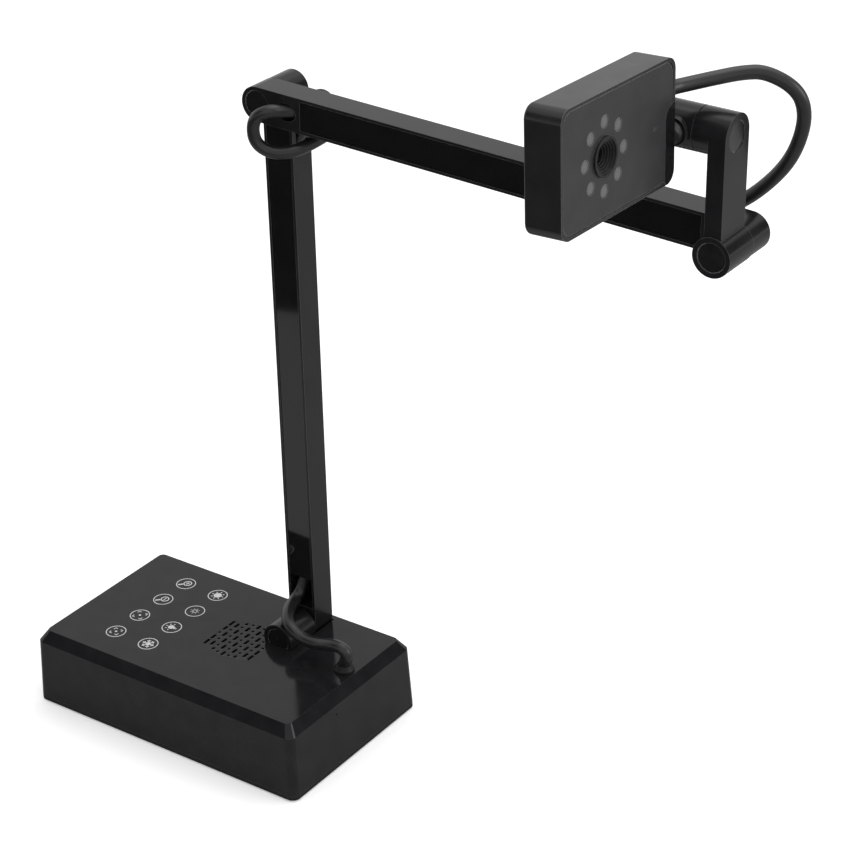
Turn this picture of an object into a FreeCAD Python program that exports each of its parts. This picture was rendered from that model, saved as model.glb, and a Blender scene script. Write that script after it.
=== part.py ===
"""Folding document camera: a weighted base, a mast, a boom, a forearm and a tilting camera head.

Frame: millimetres, +Z up, origin on the table at the middle of the base. The base is long in X,
the boom reaches out over +X, and every arm turns about an axis along Y.
"""
import FreeCAD, Part
import math
import os
import re
import Sketcher
from FreeCAD import Placement, Rotation, Vector

NAME_LIMIT = 60

# ---------------------------------------------------------------- driving dimensions
VALUES = {
    # base housing
    "baseLength": 180.0, "baseWidth": 107.0, "baseTop": 45.0, "baseFlare": 1.3, "baseCorner": 4.5,
    "bevelAcross": 4.4, "bevelDown": 6.3, "baseWall": 3.6, "topSkin": 3.5,
    "padThick": 1.0, "padLength": 146.0, "padWidth": 76.0, "plateThick": 2.5, "plateTop": 3.5,
    "bossRadius": 4.0, "bossAcross": 80.0, "bossAlong": 43.5, "screwRadius": 1.5,
    "screwHead": 2.8, "screwHeadThick": 1.5, "screwLength": 14.0,
    "weightLength": 92.0, "weightWidth": 82.0, "weightThick": 10.0, "weightLeft": -76.0,
    "boardLength": 66.0, "boardWidth": 52.0, "boardThick": 1.6, "boardHeight": 19.0,
    "boardLeft": -60.0, "standoffRadius": 2.5,
    "portLeft": -42.0, "portWidth": 9.0, "portTall": 3.3, "portDeep": 8.0,
    "keyLeft": -51.4, "keyRight": -27.9, "keyPitch": 20.0, "keyFirst": -29.6,
    "keyRadius": 5.7, "keyLine": 0.5, "keyInk": 0.15,
    "grilleAcross": 13.1, "grilleAlong": 1.0, "grilleRadius": 17.6, "slotPitch": 3.85,
    "slotStep": 5.2, "slotLength": 4.6, "slotWidth": 1.8, "dotRadius": 0.85, "wellMargin": 0.8,
    "speakerRadius": 14.0, "speakerDepth": 13.0,
    "pinholeRadius": 0.6, "pinholeAlong": -14.3, "pinholeUp": 33.3,
    "bootAcross": 78.8, "bootAlong": 8.4, "bootRadius": 5.6, "bootUp": 4.0, "bootFlange": 1.2,
    # arms: the depth of each along Y, and the slit between neighbours
    "armDepth": 15.0, "armSlit": 0.5, "mastFront": 30.1, "boomFront": 14.6,
    "forearmFront": -6.4, "forearmBack": 14.1, "lugFront": 7.4,
    # base hinge
    "hingeAcross": 33.9, "hingeUp": 48.4, "lugRadius": 9.6, "wellHalf": 9.4, "wellBack": 46.0,
    # mast
    "mastWidth": 18.0, "mastLength": 309.0, "mastLean": 0.7, "channelWall": 1.6, "webThick": 2.0,
    "mastPocketLow": 11.0, "mastPocketHigh": 297.0, "mastCoverLow": 29.0,
    "mastPortLow": 284.6, "mastPortHigh": 292.4,
    "coverThick": 1.5, "coverSink": 0.3, "coverGap": 0.15,
    # boom
    "boomHeight": 18.2, "boomLength": 267.5, "boomDip": 2.7, "boomPocketLeft": 27.0,
    "boomPocketRight": 250.0, "boomPort": 18.2, "boomPortTurn": 49.0, "boomRearPort": 240.0,
    "boomRearPortTurn": 38.0, "portBore": 4.6,
    # forearm
    "forearmLength": 53.4, "forearmLean": 1.15, "forearmThick": 8.5, "forearmLug": 9.4,
    "forearmLugFront": -7.0, "neckRadius": 10.25, "neckLeft": 12.1,
    # knuckle
    "knuckleLength": 16.6, "knuckleRoll": -1.85, "tiltAcross": 20.7, "bossProud": 11.2,
    "tiltBoss": 6.3, "tiltShaft": 3.5,
    # hinge hardware
    "boltRadius": 4.0, "runGap": 0.05, "boltHead": 6.0, "boltHeadThick": 3.0, "capRadius": 7.0,
    "capThick": 1.2, "capSink": 0.5, "nutFlats": 10.0, "nutThick": 3.6,
    "washerRadius": 8.4, "washerThick": 0.4, "rearSeat": 7.3,
    # camera head
    "headWidth": 88.4, "headHeight": 55.3, "headThick": 18.0, "headCorner": 6.0, "headTilt": -2.3,
    "headFront": 6.1, "headSide": 20.3, "headRise": 9.6, "headWall": 2.0, "headRim": 1.4,
    "headSoft": 1.5,
    "panelThick": 1.6, "panelSink": 0.3, "notchWide": 7.0, "notchTop": 7.4, "notchCorner": 7.0,
    "notchDeep": 9.0, "panelGap": 0.3,
    "lensAlong": 55.5, "lensDrop": 0.2, "lensOuter": 8.7, "lensProud": 0.8, "lensCollar": 2.2,
    "lensRim": 1.2, "lensSteps": 5, "stepPitch": 0.85, "stepTread": 0.8, "glassSeat": 2.4,
    "glassThick": 2.3, "glassCurve": 6.4, "glassGap": 0.05, "ledRing": 14.8,
    "ledRadius": 2.8, "micAlong": 16.6, "cableRise": 20.4, "glandRadius": 4.5,
    "glandFlange": 1.2,
    # cables
    "cableDiameter": 6.4, "baseCableDiameter": 6.8,
}

doc = FreeCAD.newDocument("DocumentCamera")
sheet = doc.addObject("Spreadsheet::Sheet", "Dims")
for row, (alias, value) in enumerate(VALUES.items(), start=1):
    sheet.set(f"A{row}", alias)
    sheet.set(f"B{row}", str(value))
    sheet.setAlias(f"B{row}", alias)
doc.recompute()


def dim(alias):
    """The number that the sheet holds under an alias."""
    return float(sheet.get(alias))


def bound(text):
    """An expression in which each alias is read from the sheet."""
    return re.sub(r"[A-Za-z]\w*", lambda word: "Dims." + word.group() if word.group() in VALUES
                  else word.group(), str(text))


# ---------------------------------------------------------------- link frames
def turned(base, axis, degrees):
    return Placement(base, Rotation(axis, degrees))


AXIS_X = Vector(1, 0, 0)
AXIS_Y = Vector(0, 1, 0)
NECK_ALONG = (dim("forearmFront") + dim("forearmBack")) / 2

BASE = Placement()
MAST = turned(Vector(dim("hingeAcross"), 0, dim("hingeUp")), AXIS_Y, dim("mastLean"))
ELBOW_POINT = MAST.multVec(Vector(0, 0, dim("mastLength")))
BOOM = turned(ELBOW_POINT, AXIS_Y, dim("boomDip"))
WRIST_POINT = BOOM.multVec(Vector(dim("boomLength"), 0, 0))
FOREARM = turned(WRIST_POINT, AXIS_Y, dim("forearmLean"))
NECK = FOREARM.multiply(Placement(Vector(0, NECK_ALONG, dim("forearmLength")), Rotation()))
KNUCKLE = NECK.multiply(turned(Vector(), AXIS_X, dim("knuckleRoll")))
TILT = KNUCKLE.multiply(Placement(Vector(-dim("tiltAcross"), 0, 0), Rotation()))
HEAD = TILT.multiply(turned(Vector(), AXIS_Y, dim("headTilt")))

SUBPARTS = []


def finish(solid, node, frame=BASE):
    """Names a sub-part and sets it down in its link's frame."""
    if solid.TypeId in ("Part::Box", "Part::Cylinder"):
        solid = group(f"{solid.Name}Piece", solid)
    solid.Label = node
    solid.Placement = frame.multiply(solid.Placement)
    SUBPARTS.append(solid)
    return solid


# ---------------------------------------------------------------- primitives bound to the sheet
TURNS = {"Z": Rotation(), "Y": Rotation(AXIS_X, -90), "X": Rotation(AXIS_Y, 90)}


def set_place(solid, corner):
    for letter, text in zip("xyz", corner):
        solid.setExpression(f"Placement.Base.{letter}", bound(text))


def box(name, size, corner):
    solid = doc.addObject("Part::Box", name)
    for side, text in zip(("Length", "Width", "Height"), size):
        solid.setExpression(side, bound(text))
    set_place(solid, corner)
    return solid


def rod(name, axis, radius, length, start):
    """Cylinder that runs from start along +X, +Y or +Z."""
    solid = doc.addObject("Part::Cylinder", name)
    solid.setExpression("Radius", bound(radius))
    solid.setExpression("Height", bound(length))
    solid.Placement = Placement(Vector(), TURNS[axis])
    set_place(solid, start)
    return solid


def hexagon(name, flats, length, start):
    """Hexagonal prism along +Y."""
    solid = doc.addObject("Part::Prism", name)
    solid.Polygon = 6
    solid.setExpression("Circumradius", bound(f"({flats})/sqrt(3)"))
    solid.setExpression("Height", bound(length))
    solid.Placement = Placement(Vector(), TURNS["Y"])
    set_place(solid, start)
    return solid


def fuse(name, *solids):
    result = doc.addObject("Part::MultiFuse", name)
    result.Shapes = list(solids)
    result.Refine = True
    return result


def cut(name, base, *tools):
    result = doc.addObject("Part::Cut", name)
    result.Base = base
    result.Tool = tools[0] if len(tools) == 1 else fuse(name + "Tools", *tools)
    result.Refine = True
    return result


def common(name, *solids):
    result = doc.addObject("Part::MultiCommon", name)
    result.Shapes = list(solids)
    return result


def group(name, *solids):
    """Separate solids kept in one sub-part."""
    result = doc.addObject("Part::Compound", name)
    result.Links = list(solids)
    return result


def rounded(name, base, radius, wanted):
    """Fillets the edges of base for which wanted(edge) is true."""
    doc.recompute()
    result = doc.addObject("Part::Fillet", name)
    result.Base = base
    edges = enumerate(base.Shape.Edges, start=1)
    result.Edges = [(index, dim(radius), dim(radius)) for index, edge in edges if wanted(edge)]
    return result


def runs_along(edge, axis):
    """True where a straight edge is parallel to axis."""
    if not isinstance(edge.Curve, Part.Line):
        return False
    start, end = (vertex.Point for vertex in edge.Vertexes)
    return (end - start).normalize().cross(axis).Length < 0.1


# ---------------------------------------------------------------- sketches and features
def new_body(name):
    return doc.addObject("PartDesign::Body", name)


def new_sketch(body, name, role, offset="0"):
    """Sketch on one of the body's own origin planes, moved along its normal."""
    sketch = body.newObject("Sketcher::SketchObject", name)
    plane = next(item for item in body.Origin.OriginFeatures if item.Role == role)
    sketch.AttachmentSupport = [(plane, "")]
    sketch.MapMode = "FlatFace"
    sketch.setExpression("AttachmentOffset.Base.z", bound(offset))
    return sketch


def name_constraint(sketch, index, label, text):
    sketch.renameConstraint(index, label)
    sketch.setExpression(f"Constraints.{label}", bound(text))


def draw_rectangle(sketch, label, size, corner):
    """Rectangle whose sides and lower left corner are bound to the sheet."""
    points = [Vector(1, 1, 0), Vector(9, 1, 0), Vector(9, 7, 0), Vector(1, 7, 0)]
    first = len(sketch.Geometry)
    for index in range(4):
        sketch.addGeometry(Part.LineSegment(points[index], points[(index + 1) % 4]))
    for index in range(4):
        following = first + (index + 1) % 4
        sketch.addConstraint(Sketcher.Constraint("Coincident", first + index, 2, following, 1))
        side = "Horizontal" if index % 2 == 0 else "Vertical"
        sketch.addConstraint(Sketcher.Constraint(side, first + index))
    pairs = ((("DistanceX", first, 1, first, 2, 8.0), "Wide", size[0]),
             (("DistanceY", first + 1, 1, first + 1, 2, 6.0), "Tall", size[1]),
             (("DistanceX", -1, 1, first, 1, 1.0), "Right", corner[0]),
             (("DistanceY", -1, 1, first, 1, 1.0), "Up", corner[1]))
    for arguments, ending, text in pairs:
        index = sketch.addConstraint(Sketcher.Constraint(*arguments))
        name_constraint(sketch, index, label + ending, text)


def draw_circle(sketch, label, radius, centre):
    index = sketch.addGeometry(Part.Circle(Vector(1, 1, 0), Vector(0, 0, 1), 2.0))
    pairs = ((("Radius", index, 2.0), "Radius", radius),
             (("DistanceX", -1, 1, index, 3, 1.0), "Right", centre[0]),
             (("DistanceY", -1, 1, index, 3, 1.0), "Up", centre[1]))
    for arguments, ending, text in pairs:
        number = sketch.addConstraint(Sketcher.Constraint(*arguments))
        name_constraint(sketch, number, label + ending, text)


def pad(body, name, sketch, length, reverse=False):
    feature = body.newObject("PartDesign::Pad", name)
    feature.Profile = sketch
    feature.setExpression("Length", bound(length))
    feature.Reversed = reverse
    return feature


def pocket(body, name, sketch, length, reverse=False):
    """Pocket that must take material away."""
    doc.recompute()
    before = body.Shape.Volume
    feature = body.newObject("PartDesign::Pocket", name)
    feature.Profile = sketch
    feature.setExpression("Length", bound(length))
    feature.Reversed = reverse
    doc.recompute()
    if not body.Shape.Volume < before - 1e-3:
        raise ValueError(f"{name} removes nothing")
    return feature


def dress(body, kind, name, base, edges, size):
    """Fillet or chamfer on named edges of the feature before it."""
    feature = body.newObject(f"PartDesign::{kind}", name)
    feature.Base = (base, edges)
    feature.setExpression("Radius" if kind == "Fillet" else "Size", bound(size))
    return feature


def edge_names(shape, wanted):
    return [f"Edge{index}" for index, edge in enumerate(shape.Edges, start=1) if wanted(edge)]


def lies_flat(edge, height, axis="z"):
    """True where the whole edge lies at one height on an axis."""
    bounds = edge.BoundBox
    low, high = getattr(bounds, axis.upper() + "Min"), getattr(bounds, axis.upper() + "Max")
    return abs(low - height) < 0.01 and abs(high - height) < 0.01


# ---------------------------------------------------------------- base housing
CORNERS = ((1, 1), (1, -1), (-1, 1), (-1, -1))


def base_block(body):
    """Drafted block with a bevelled top: three rounded outlines, one above the other."""
    length, width = dim("baseLength"), dim("baseWidth")
    flare, inset = 2 * dim("baseFlare"), -2 * dim("bevelAcross")
    levels = (("Foot", "plateTop", flare), ("Shoulder", "baseTop - bevelDown", 0),
              ("Rim", "baseTop", inset))
    outlines = []
    for name, height, growth in levels:
        outline = new_sketch(body, f"Base{name}", "XY_Plane", height)
        radius = dim("baseCorner") if growth >= 0 else dim("baseCorner") - 1.5
        draw_rounded(outline, length + growth, width + growth, radius)
        outlines.append(outline)
    loft = body.newObject("PartDesign::AdditiveLoft", "BaseBlock")
    loft.Profile = outlines[0]
    loft.Sections = outlines[1:]
    loft.Ruled = True
    return loft


def draw_rounded(sketch, width, height, radius):
    """Rounded rectangle about the sketch's origin."""
    x, y = width / 2, height / 2
    near = radius * (1 - math.sqrt(0.5))
    for right, up in ((1, 1), (-1, 1), (-1, -1), (1, -1)):
        first = Vector(right * x, up * (y - radius), 0)
        middle = Vector(right * (x - near), up * (y - near), 0)
        last = Vector(right * (x - radius), up * y, 0)
        sketch.addGeometry(Part.Arc(first, middle, last))
    for side in (1, -1):
        sketch.addGeometry(Part.LineSegment(Vector(side * x, -(y - radius), 0),
                                            Vector(side * x, y - radius, 0)))
        sketch.addGeometry(Part.LineSegment(Vector(-(x - radius), side * y, 0),
                                            Vector(x - radius, side * y, 0)))


def base_shell():
    body = new_body("BaseShell")
    base_block(body)

    hollow = new_sketch(body, "BaseHollow", "XY_Plane", "plateTop")
    draw_rectangle(hollow, "hollow", ("baseLength - 2*baseWall", "baseWidth - 2*baseWall"),
                   ("baseWall - baseLength/2", "baseWall - baseWidth/2"))
    pocket(body, "BaseInside", hollow, "baseTop - topSkin - plateTop", reverse=True)

    bosses = new_sketch(body, "BossRings", "XY_Plane", "plateTop")
    for index, (right, up) in enumerate(CORNERS):
        centre = (f"{right}*bossAcross", f"{up}*bossAlong")
        draw_circle(bosses, f"boss{index}", "bossRadius", centre)
        draw_circle(bosses, f"bore{index}", "screwRadius", centre)
    pad(body, "Bosses", bosses, "baseTop - topSkin - plateTop")

    well = new_sketch(body, "WellOutline", "XY_Plane", "baseTop")
    draw_rectangle(well, "well", ("2*wellHalf", "wellBack - lugFront"),
                   ("hingeAcross - wellHalf", "lugFront"))
    draw_circle(well, "boot", "bootRadius - 0.8", ("bootAcross", "bootAlong"))
    pocket(body, "Well", well, "topSkin")

    grille = new_sketch(body, "GrilleOutline", "XY_Plane", "baseTop")
    draw_grille(grille)
    pocket(body, "Grille", grille, "topSkin")

    pinhole = new_sketch(body, "PinholeOutline", "YZ_Plane", "baseLength/2 - baseWall - 1")
    draw_circle(pinhole, "pinhole", "pinholeRadius", ("pinholeAlong", "pinholeUp"))
    pocket(body, "Pinhole", pinhole, "baseWall + 3", reverse=True)

    port = new_sketch(body, "PortOutline", "XZ_Plane", "-(baseWidth/2 + 2)")
    draw_rectangle(port, "port", ("portWidth + 0.4", "portTall + 0.4"),
                   ("portLeft - 0.2", "boardHeight + boardThick - 0.2"))
    pocket(body, "PortHole", port, "baseWall + 4", reverse=True)
    return finish(body, "base_shell")


def draw_grille(sketch):
    """Slots and dots by turns, like a chessboard, trimmed by a circle and kept off the well."""
    for column in range(-4, 5):
        for line in range(-3, 4):
            x = dim("grilleAcross") + column * dim("slotPitch")
            y = dim("grilleAlong") + line * dim("slotStep")
            if (column + line) % 2 == 0:
                draw_dot(sketch, x, y)
            else:
                draw_slot(sketch, x, y)


def meets_well(x, y, half_width, half_length):
    """True where a hole would leave too little wall beside the well of the hinge."""
    left = dim("hingeAcross") - dim("wellHalf") - dim("wellMargin")
    front = dim("lugFront") - dim("wellMargin") / 4
    return x + half_width > left and y + half_length > front


def draw_dot(sketch, x, y):
    radius = dim("dotRadius")
    out = math.hypot(x - dim("grilleAcross"), y - dim("grilleAlong"))
    if out + radius < dim("grilleRadius") and not meets_well(x, y, radius, radius):
        sketch.addGeometry(Part.Circle(Vector(x, y, 0), Vector(0, 0, 1), radius))


def draw_slot(sketch, x, y):
    """Slot along Y whose ends stop at the grille's circle."""
    half, reach = dim("slotWidth") / 2, dim("slotLength") / 2
    if meets_well(x, y, half, reach):
        return
    limit = math.sqrt(dim("grilleRadius") ** 2 - (x - dim("grilleAcross")) ** 2)
    low = max(y - reach, dim("grilleAlong") - limit) + half
    high = min(y + reach, dim("grilleAlong") + limit) - half
    sketch.addGeometry(Part.LineSegment(Vector(x - half, high, 0), Vector(x - half, low, 0)))
    sketch.addGeometry(Part.Arc(Vector(x - half, low, 0), Vector(x, low - half, 0),
                                Vector(x + half, low, 0)))
    sketch.addGeometry(Part.LineSegment(Vector(x + half, low, 0), Vector(x + half, high, 0)))
    sketch.addGeometry(Part.Arc(Vector(x + half, high, 0), Vector(x, high + half, 0),
                                Vector(x - half, high, 0)))


def base_plate():
    """Steel bottom plate, flush with the foot of the walls."""
    slab = box("PlateSlab", ("baseLength + 2*baseFlare", "baseWidth + 2*baseFlare", "plateThick"),
               ("-baseLength/2 - baseFlare", "-baseWidth/2 - baseFlare", "padThick"))
    slab = rounded("PlateCorners", slab, "baseCorner", lambda edge: runs_along(edge, Vector(0, 0, 1)))
    holes = []
    for index, (right, up) in enumerate(CORNERS):
        across, along = f"{right}*bossAcross", f"{up}*bossAlong"
        holes.append(rod(f"PlateSink{index}", "Z", "screwHead", "screwHeadThick",
                         (across, along, "padThick")))
        holes.append(rod(f"PlateHole{index}", "Z", "screwRadius", "plateThick",
                         (across, along, "padThick")))
    return finish(cut("BasePlate", slab, *holes), "base_plate")


def base_screws():
    screws = []
    for index, (right, up) in enumerate(CORNERS):
        across, along = f"{right}*bossAcross", f"{up}*bossAlong"
        head = rod(f"ScrewHead{index}", "Z", "screwHead", "screwHeadThick",
                   (across, along, "padThick"))
        shank = rod(f"ScrewShank{index}", "Z", "screwRadius", "screwLength",
                    (across, along, "padThick"))
        screws.append(fuse(f"Screw{index}", head, shank))
    return finish(group("BaseScrews", *screws), "base_screws")


def rubber_pad():
    """Anti-slip sheet under the plate, inside its screws."""
    slab = box("PadSlab", ("padLength", "padWidth", "padThick"), ("-padLength/2", "-padWidth/2", "0"))
    return finish(rounded("RubberPad", slab, "baseCorner",
                          lambda edge: runs_along(edge, Vector(0, 0, 1))), "rubber_pad")


def counterweight():
    slab = box("Counterweight", ("weightLength", "weightWidth", "weightThick"),
               ("weightLeft", "-weightWidth/2", "plateTop"))
    return finish(slab, "counterweight")


def main_board():
    """Circuit board on four pillars that stand on the counterweight."""
    board = box("BoardSheet", ("boardLength", "boardWidth", "boardThick"),
                ("boardLeft", "baseWidth/2 - baseWall - 1 - boardWidth", "boardHeight"))
    pillars = []
    for index, (right, up) in enumerate(CORNERS):
        across = f"boardLeft + boardLength/2 + {right}*(boardLength/2 - 5)"
        along = f"baseWidth/2 - baseWall - 1 - boardWidth/2 - 9 + {up}*(boardWidth/2 - 14)"
        pillars.append(rod(f"Pillar{index}", "Z", "standoffRadius",
                           "boardHeight - plateTop - weightThick",
                           (across, along, "plateTop + weightThick")))
    return finish(fuse("MainBoard", board, *pillars), "main_board")


def usb_port():
    socket = box("PortShell", ("portWidth", "portDeep", "portTall"),
                 ("portLeft", "baseWidth/2 - portDeep", "boardHeight + boardThick"))
    mouth = box("PortMouth", ("portWidth - 0.8", "portDeep - 1", "portTall - 0.8"),
                ("portLeft + 0.4", "baseWidth/2 - portDeep + 1", "boardHeight + boardThick + 0.4"))
    return finish(cut("UsbPort", socket, mouth), "usb_port")


def touch_board():
    """Capacitive key board glued under the top skin."""
    sheet_board = box("TouchBoard", ("keyRight - keyLeft + 16", "3*keyPitch + 16", "1.2"),
                      ("keyLeft - 8", "keyFirst - 8", "baseTop - topSkin - 1.2"))
    return finish(sheet_board, "touch_board")


def touch_icons():
    """Printed ring of each of the eight touch keys."""
    rings = []
    for column, across in enumerate(("keyLeft", "keyRight")):
        for line in range(4):
            along = f"keyFirst + {line}*keyPitch"
            disc = rod(f"KeyDisc{column}{line}", "Z", "keyRadius", "keyInk",
                       (across, along, "baseTop"))
            middle = rod(f"KeyMiddle{column}{line}", "Z", "keyRadius - keyLine", "keyInk",
                         (across, along, "baseTop"))
            rings.append(cut(f"KeyRing{column}{line}", disc, middle))
    return finish(group("TouchIcons", *rings), "touch_icons")


def speaker():
    """Loudspeaker under the grille: a stepped can."""
    rim = rod("SpeakerRim", "Z", "speakerRadius", "2.5",
              ("grilleAcross", "grilleAlong", "baseTop - topSkin - 2.5"))
    basket = rod("SpeakerBasket", "Z", "speakerRadius - 3", "speakerDepth - 5",
                 ("grilleAcross", "grilleAlong", "baseTop - topSkin - speakerDepth + 2.5"))
    magnet = rod("SpeakerMagnet", "Z", "speakerRadius - 7", "2.5",
                 ("grilleAcross", "grilleAlong", "baseTop - topSkin - speakerDepth"))
    return finish(fuse("Speaker", rim, basket, magnet), "speaker")


def cable_boot():
    """Rubber boot that the cable goes through into the base."""
    body = new_body("CableBoot")
    profile = new_sketch(body, "BootProfile", "XZ_Plane")
    inner, outer, neck = dim("baseCableDiameter") / 2, dim("bootRadius"), dim("bootRadius") - 0.9
    top, skin = dim("bootUp"), dim("topSkin")
    corners = [(inner, top), (inner + 0.5, top), (outer, dim("bootFlange")), (outer, 0.0),
               (neck, 0.0), (neck, -skin), (outer, -skin), (outer, -skin - 1.5),
               (inner, -skin - 1.5)]
    draw_outline(profile, corners)
    spin(body, "BootTurned", profile, "V_Axis")
    body.Placement = Placement(Vector(dim("bootAcross"), dim("bootAlong"), dim("baseTop")), Rotation())
    return finish(body, "cable_boot")


def draw_outline(sketch, corners):
    """Closed outline of straight lines through the corners, joined end to end."""
    first = len(sketch.Geometry)
    count = len(corners)
    for index in range(count):
        start, end = corners[index], corners[(index + 1) % count]
        sketch.addGeometry(Part.LineSegment(Vector(*start, 0), Vector(*end, 0)))
    for index in range(count):
        following = first + (index + 1) % count
        sketch.addConstraint(Sketcher.Constraint("Coincident", first + index, 2, following, 1))


def spin(body, name, sketch, axis):
    """Full turn of a profile about one of its sketch's axes."""
    feature = body.newObject("PartDesign::Revolution", name)
    feature.Profile = sketch
    feature.ReferenceAxis = (sketch, [axis])
    feature.Angle = 360.0
    return feature


# ---------------------------------------------------------------- hinge hardware
def y_hinge(prefix, frame, front, rear_front):
    """Bolt, nut, washer and cap of a hinge whose axis is the frame's Y axis.

    front is the Y of the bolted piece's front face and rear_front that of the arm behind it.
    """
    slit = f"{rear_front} - armSlit"
    rear_end = f"{rear_front} + armDepth"
    seat = f"{front} + capSink + capThick"
    nut_start = f"{rear_end} - capThick - 0.2 - nutThick"
    head = rod(f"{prefix}BoltHead", "Y", "boltHead", "boltHeadThick", ("0", seat, "0"))
    shank = rod(f"{prefix}BoltShank", "Y", "boltRadius", f"({nut_start} + nutThick) - ({seat})",
                ("0", seat, "0"))
    finish(fuse(f"{prefix}Bolt", head, shank), f"{prefix.lower()}_bolt", frame)
    cap = rod(f"{prefix}Cap", "Y", "capRadius", "capThick", ("0", f"{front} + capSink", "0"))
    finish(cap, f"{prefix.lower()}_cap", frame)
    blank = hexagon(f"{prefix}NutBlank", "nutFlats", "nutThick", ("0", nut_start, "0"))
    thread = rod(f"{prefix}NutBore", "Y", "boltRadius", "nutThick", ("0", nut_start, "0"))
    finish(cut(f"{prefix}Nut", blank, thread), f"{prefix.lower()}_nut", frame)
    disc = rod(f"{prefix}WasherDisc", "Y", "washerRadius", "washerThick",
               ("0", f"{slit} + runGap", "0"))
    eye = rod(f"{prefix}WasherEye", "Y", "boltRadius + runGap", "washerThick",
              ("0", f"{slit} + runGap", "0"))
    finish(cut(f"{prefix}Washer", disc, eye), f"{prefix.lower()}_washer", frame)


def rear_cap(prefix, frame, across, up, rear_end):
    """Plain disc that closes the nut's recess, flush with the arm's back."""
    disc = rod(f"{prefix}RearCap", "Y", "rearSeat", "capThick - 0.2",
               (across, f"{rear_end} - capThick + 0.2 - 0.1", up))
    finish(disc, f"{prefix.lower()}_rear_cap", frame)


def front_seat(name, front, across="0", up="0"):
    """Recess for a cap and a bolt head, and the bolt's hole behind it, cut from a front face."""
    recess = rod(f"{name}Recess", "Y", "capRadius", "capSink + capThick + boltHeadThick",
                 (across, front, up))
    return [recess, rod(f"{name}Hole", "Y", "boltRadius", "40", (across, front, up))]


def rear_seat(name, rear_end, across="0", up="0"):
    """Recess for a nut and its cap, and a running hole, cut from a back face."""
    depth = "capThick + nutThick + 0.6"
    recess = rod(f"{name}NutRecess", "Y", "rearSeat", depth, (across, f"{rear_end} - ({depth})", up))
    hole = rod(f"{name}RunHole", "Y", "boltRadius + runGap", "armDepth + 2",
               (across, f"{rear_end} - armDepth - 1", up))
    return [recess, hole]


# ---------------------------------------------------------------- base hinge
def hinge_bracket():
    """Die-cast lug that rises through the top, with a post and a flange on the base plate."""
    depth = "mastFront - armSlit - lugFront"
    barrel = rod("LugBarrel", "Y", "lugRadius", depth, ("hingeAcross", "lugFront", "hingeUp"))
    post = box("LugPost", ("16", depth, "hingeUp - plateTop - 2"),
               ("hingeAcross - 8", "lugFront", "plateTop"))
    flange = box("LugFlange", ("42", "44", "4"), ("hingeAcross - 14", "lugFront - 6", "plateTop"))
    blank = fuse("LugBlank", barrel, post, flange)
    tools = front_seat("Lug", "lugFront", "hingeAcross", "hingeUp")
    tools += [rod(f"FlangeHole{index}", "Z", "screwRadius", "4", (across, along, "plateTop"))
              for index, (across, along) in enumerate(FLANGE_SCREWS)]
    return finish(cut("HingeBracket", blank, *tools), "hinge_bracket")


FLANGE_SCREWS = (("hingeAcross + 22", "lugFront + 2"), ("hingeAcross + 22", "lugFront + 30"))


def bracket_screws():
    screws = []
    for index, (across, along) in enumerate(FLANGE_SCREWS):
        head = rod(f"FlangeHead{index}", "Z", "screwHead", "screwHeadThick",
                   (across, along, "plateTop + 4"))
        shank = rod(f"FlangeShank{index}", "Z", "screwRadius", "4", (across, along, "plateTop"))
        screws.append(fuse(f"FlangeScrew{index}", head, shank))
    return finish(group("BracketScrews", *screws), "bracket_screws")


# ---------------------------------------------------------------- mast and boom
def mast_channel():
    """Round-ended bar, hollowed from the front between its hinges."""
    half = "mastWidth/2"
    bar = box("MastBar", ("mastWidth", "armDepth", "mastLength"), (f"-{half}", "mastFront", "0"))
    ends = [rod(f"MastEnd{index}", "Y", half, "armDepth", ("0", "mastFront", up))
            for index, up in enumerate(("0", "mastLength"))]
    trough = box("MastTrough", ("mastWidth - 2*channelWall", "armDepth - webThick",
                                "mastPocketHigh - mastPocketLow"),
                 (f"channelWall - {half}", "mastFront", "mastPocketLow"))
    along = "mastFront + armDepth/2"
    port = fuse("MastPort", rod("MastPortLow", "X", "portBore", "12", ("0", along, "mastPortLow")),
                rod("MastPortHigh", "X", "portBore", "12", ("0", along, "mastPortHigh")),
                box("MastPortSlot", ("12", "2*portBore", "mastPortHigh - mastPortLow"),
                    ("0", f"{along} - portBore", "mastPortLow")))
    tools = [trough, port]
    tools += rear_seat("MastFoot", "mastFront + armDepth")
    tools += rear_seat("MastTop", "mastFront + armDepth", "0", "mastLength")
    return finish(cut("MastChannel", fuse("MastBlank", bar, *ends), *tools), "mast_channel", MAST)


def mast_cover():
    strip = box("MastCover", ("mastWidth - 2*channelWall - 2*coverGap", "coverThick",
                              "mastPocketHigh - mastCoverLow - coverGap"),
                ("channelWall + coverGap - mastWidth/2", "mastFront + coverSink", "mastCoverLow"))
    return finish(strip, "mast_cover", MAST)


def slanted_port(name, across, along, turn, lead, length):
    """Cable hole level with the boom's axis, slanted by turn; it starts lead before the face."""
    port = rod(name, "X", "portBore", length, ("0", "0", "0"))
    port.Placement = turned(Vector(), Vector(0, 0, 1), dim(turn)).multiply(
        Placement(Vector(), TURNS["X"]))
    set_place(port, (f"{across} - {lead}*cos({turn} * 1 deg)",
                     f"{along} - {lead}*sin({turn} * 1 deg)", "0"))
    return port


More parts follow.
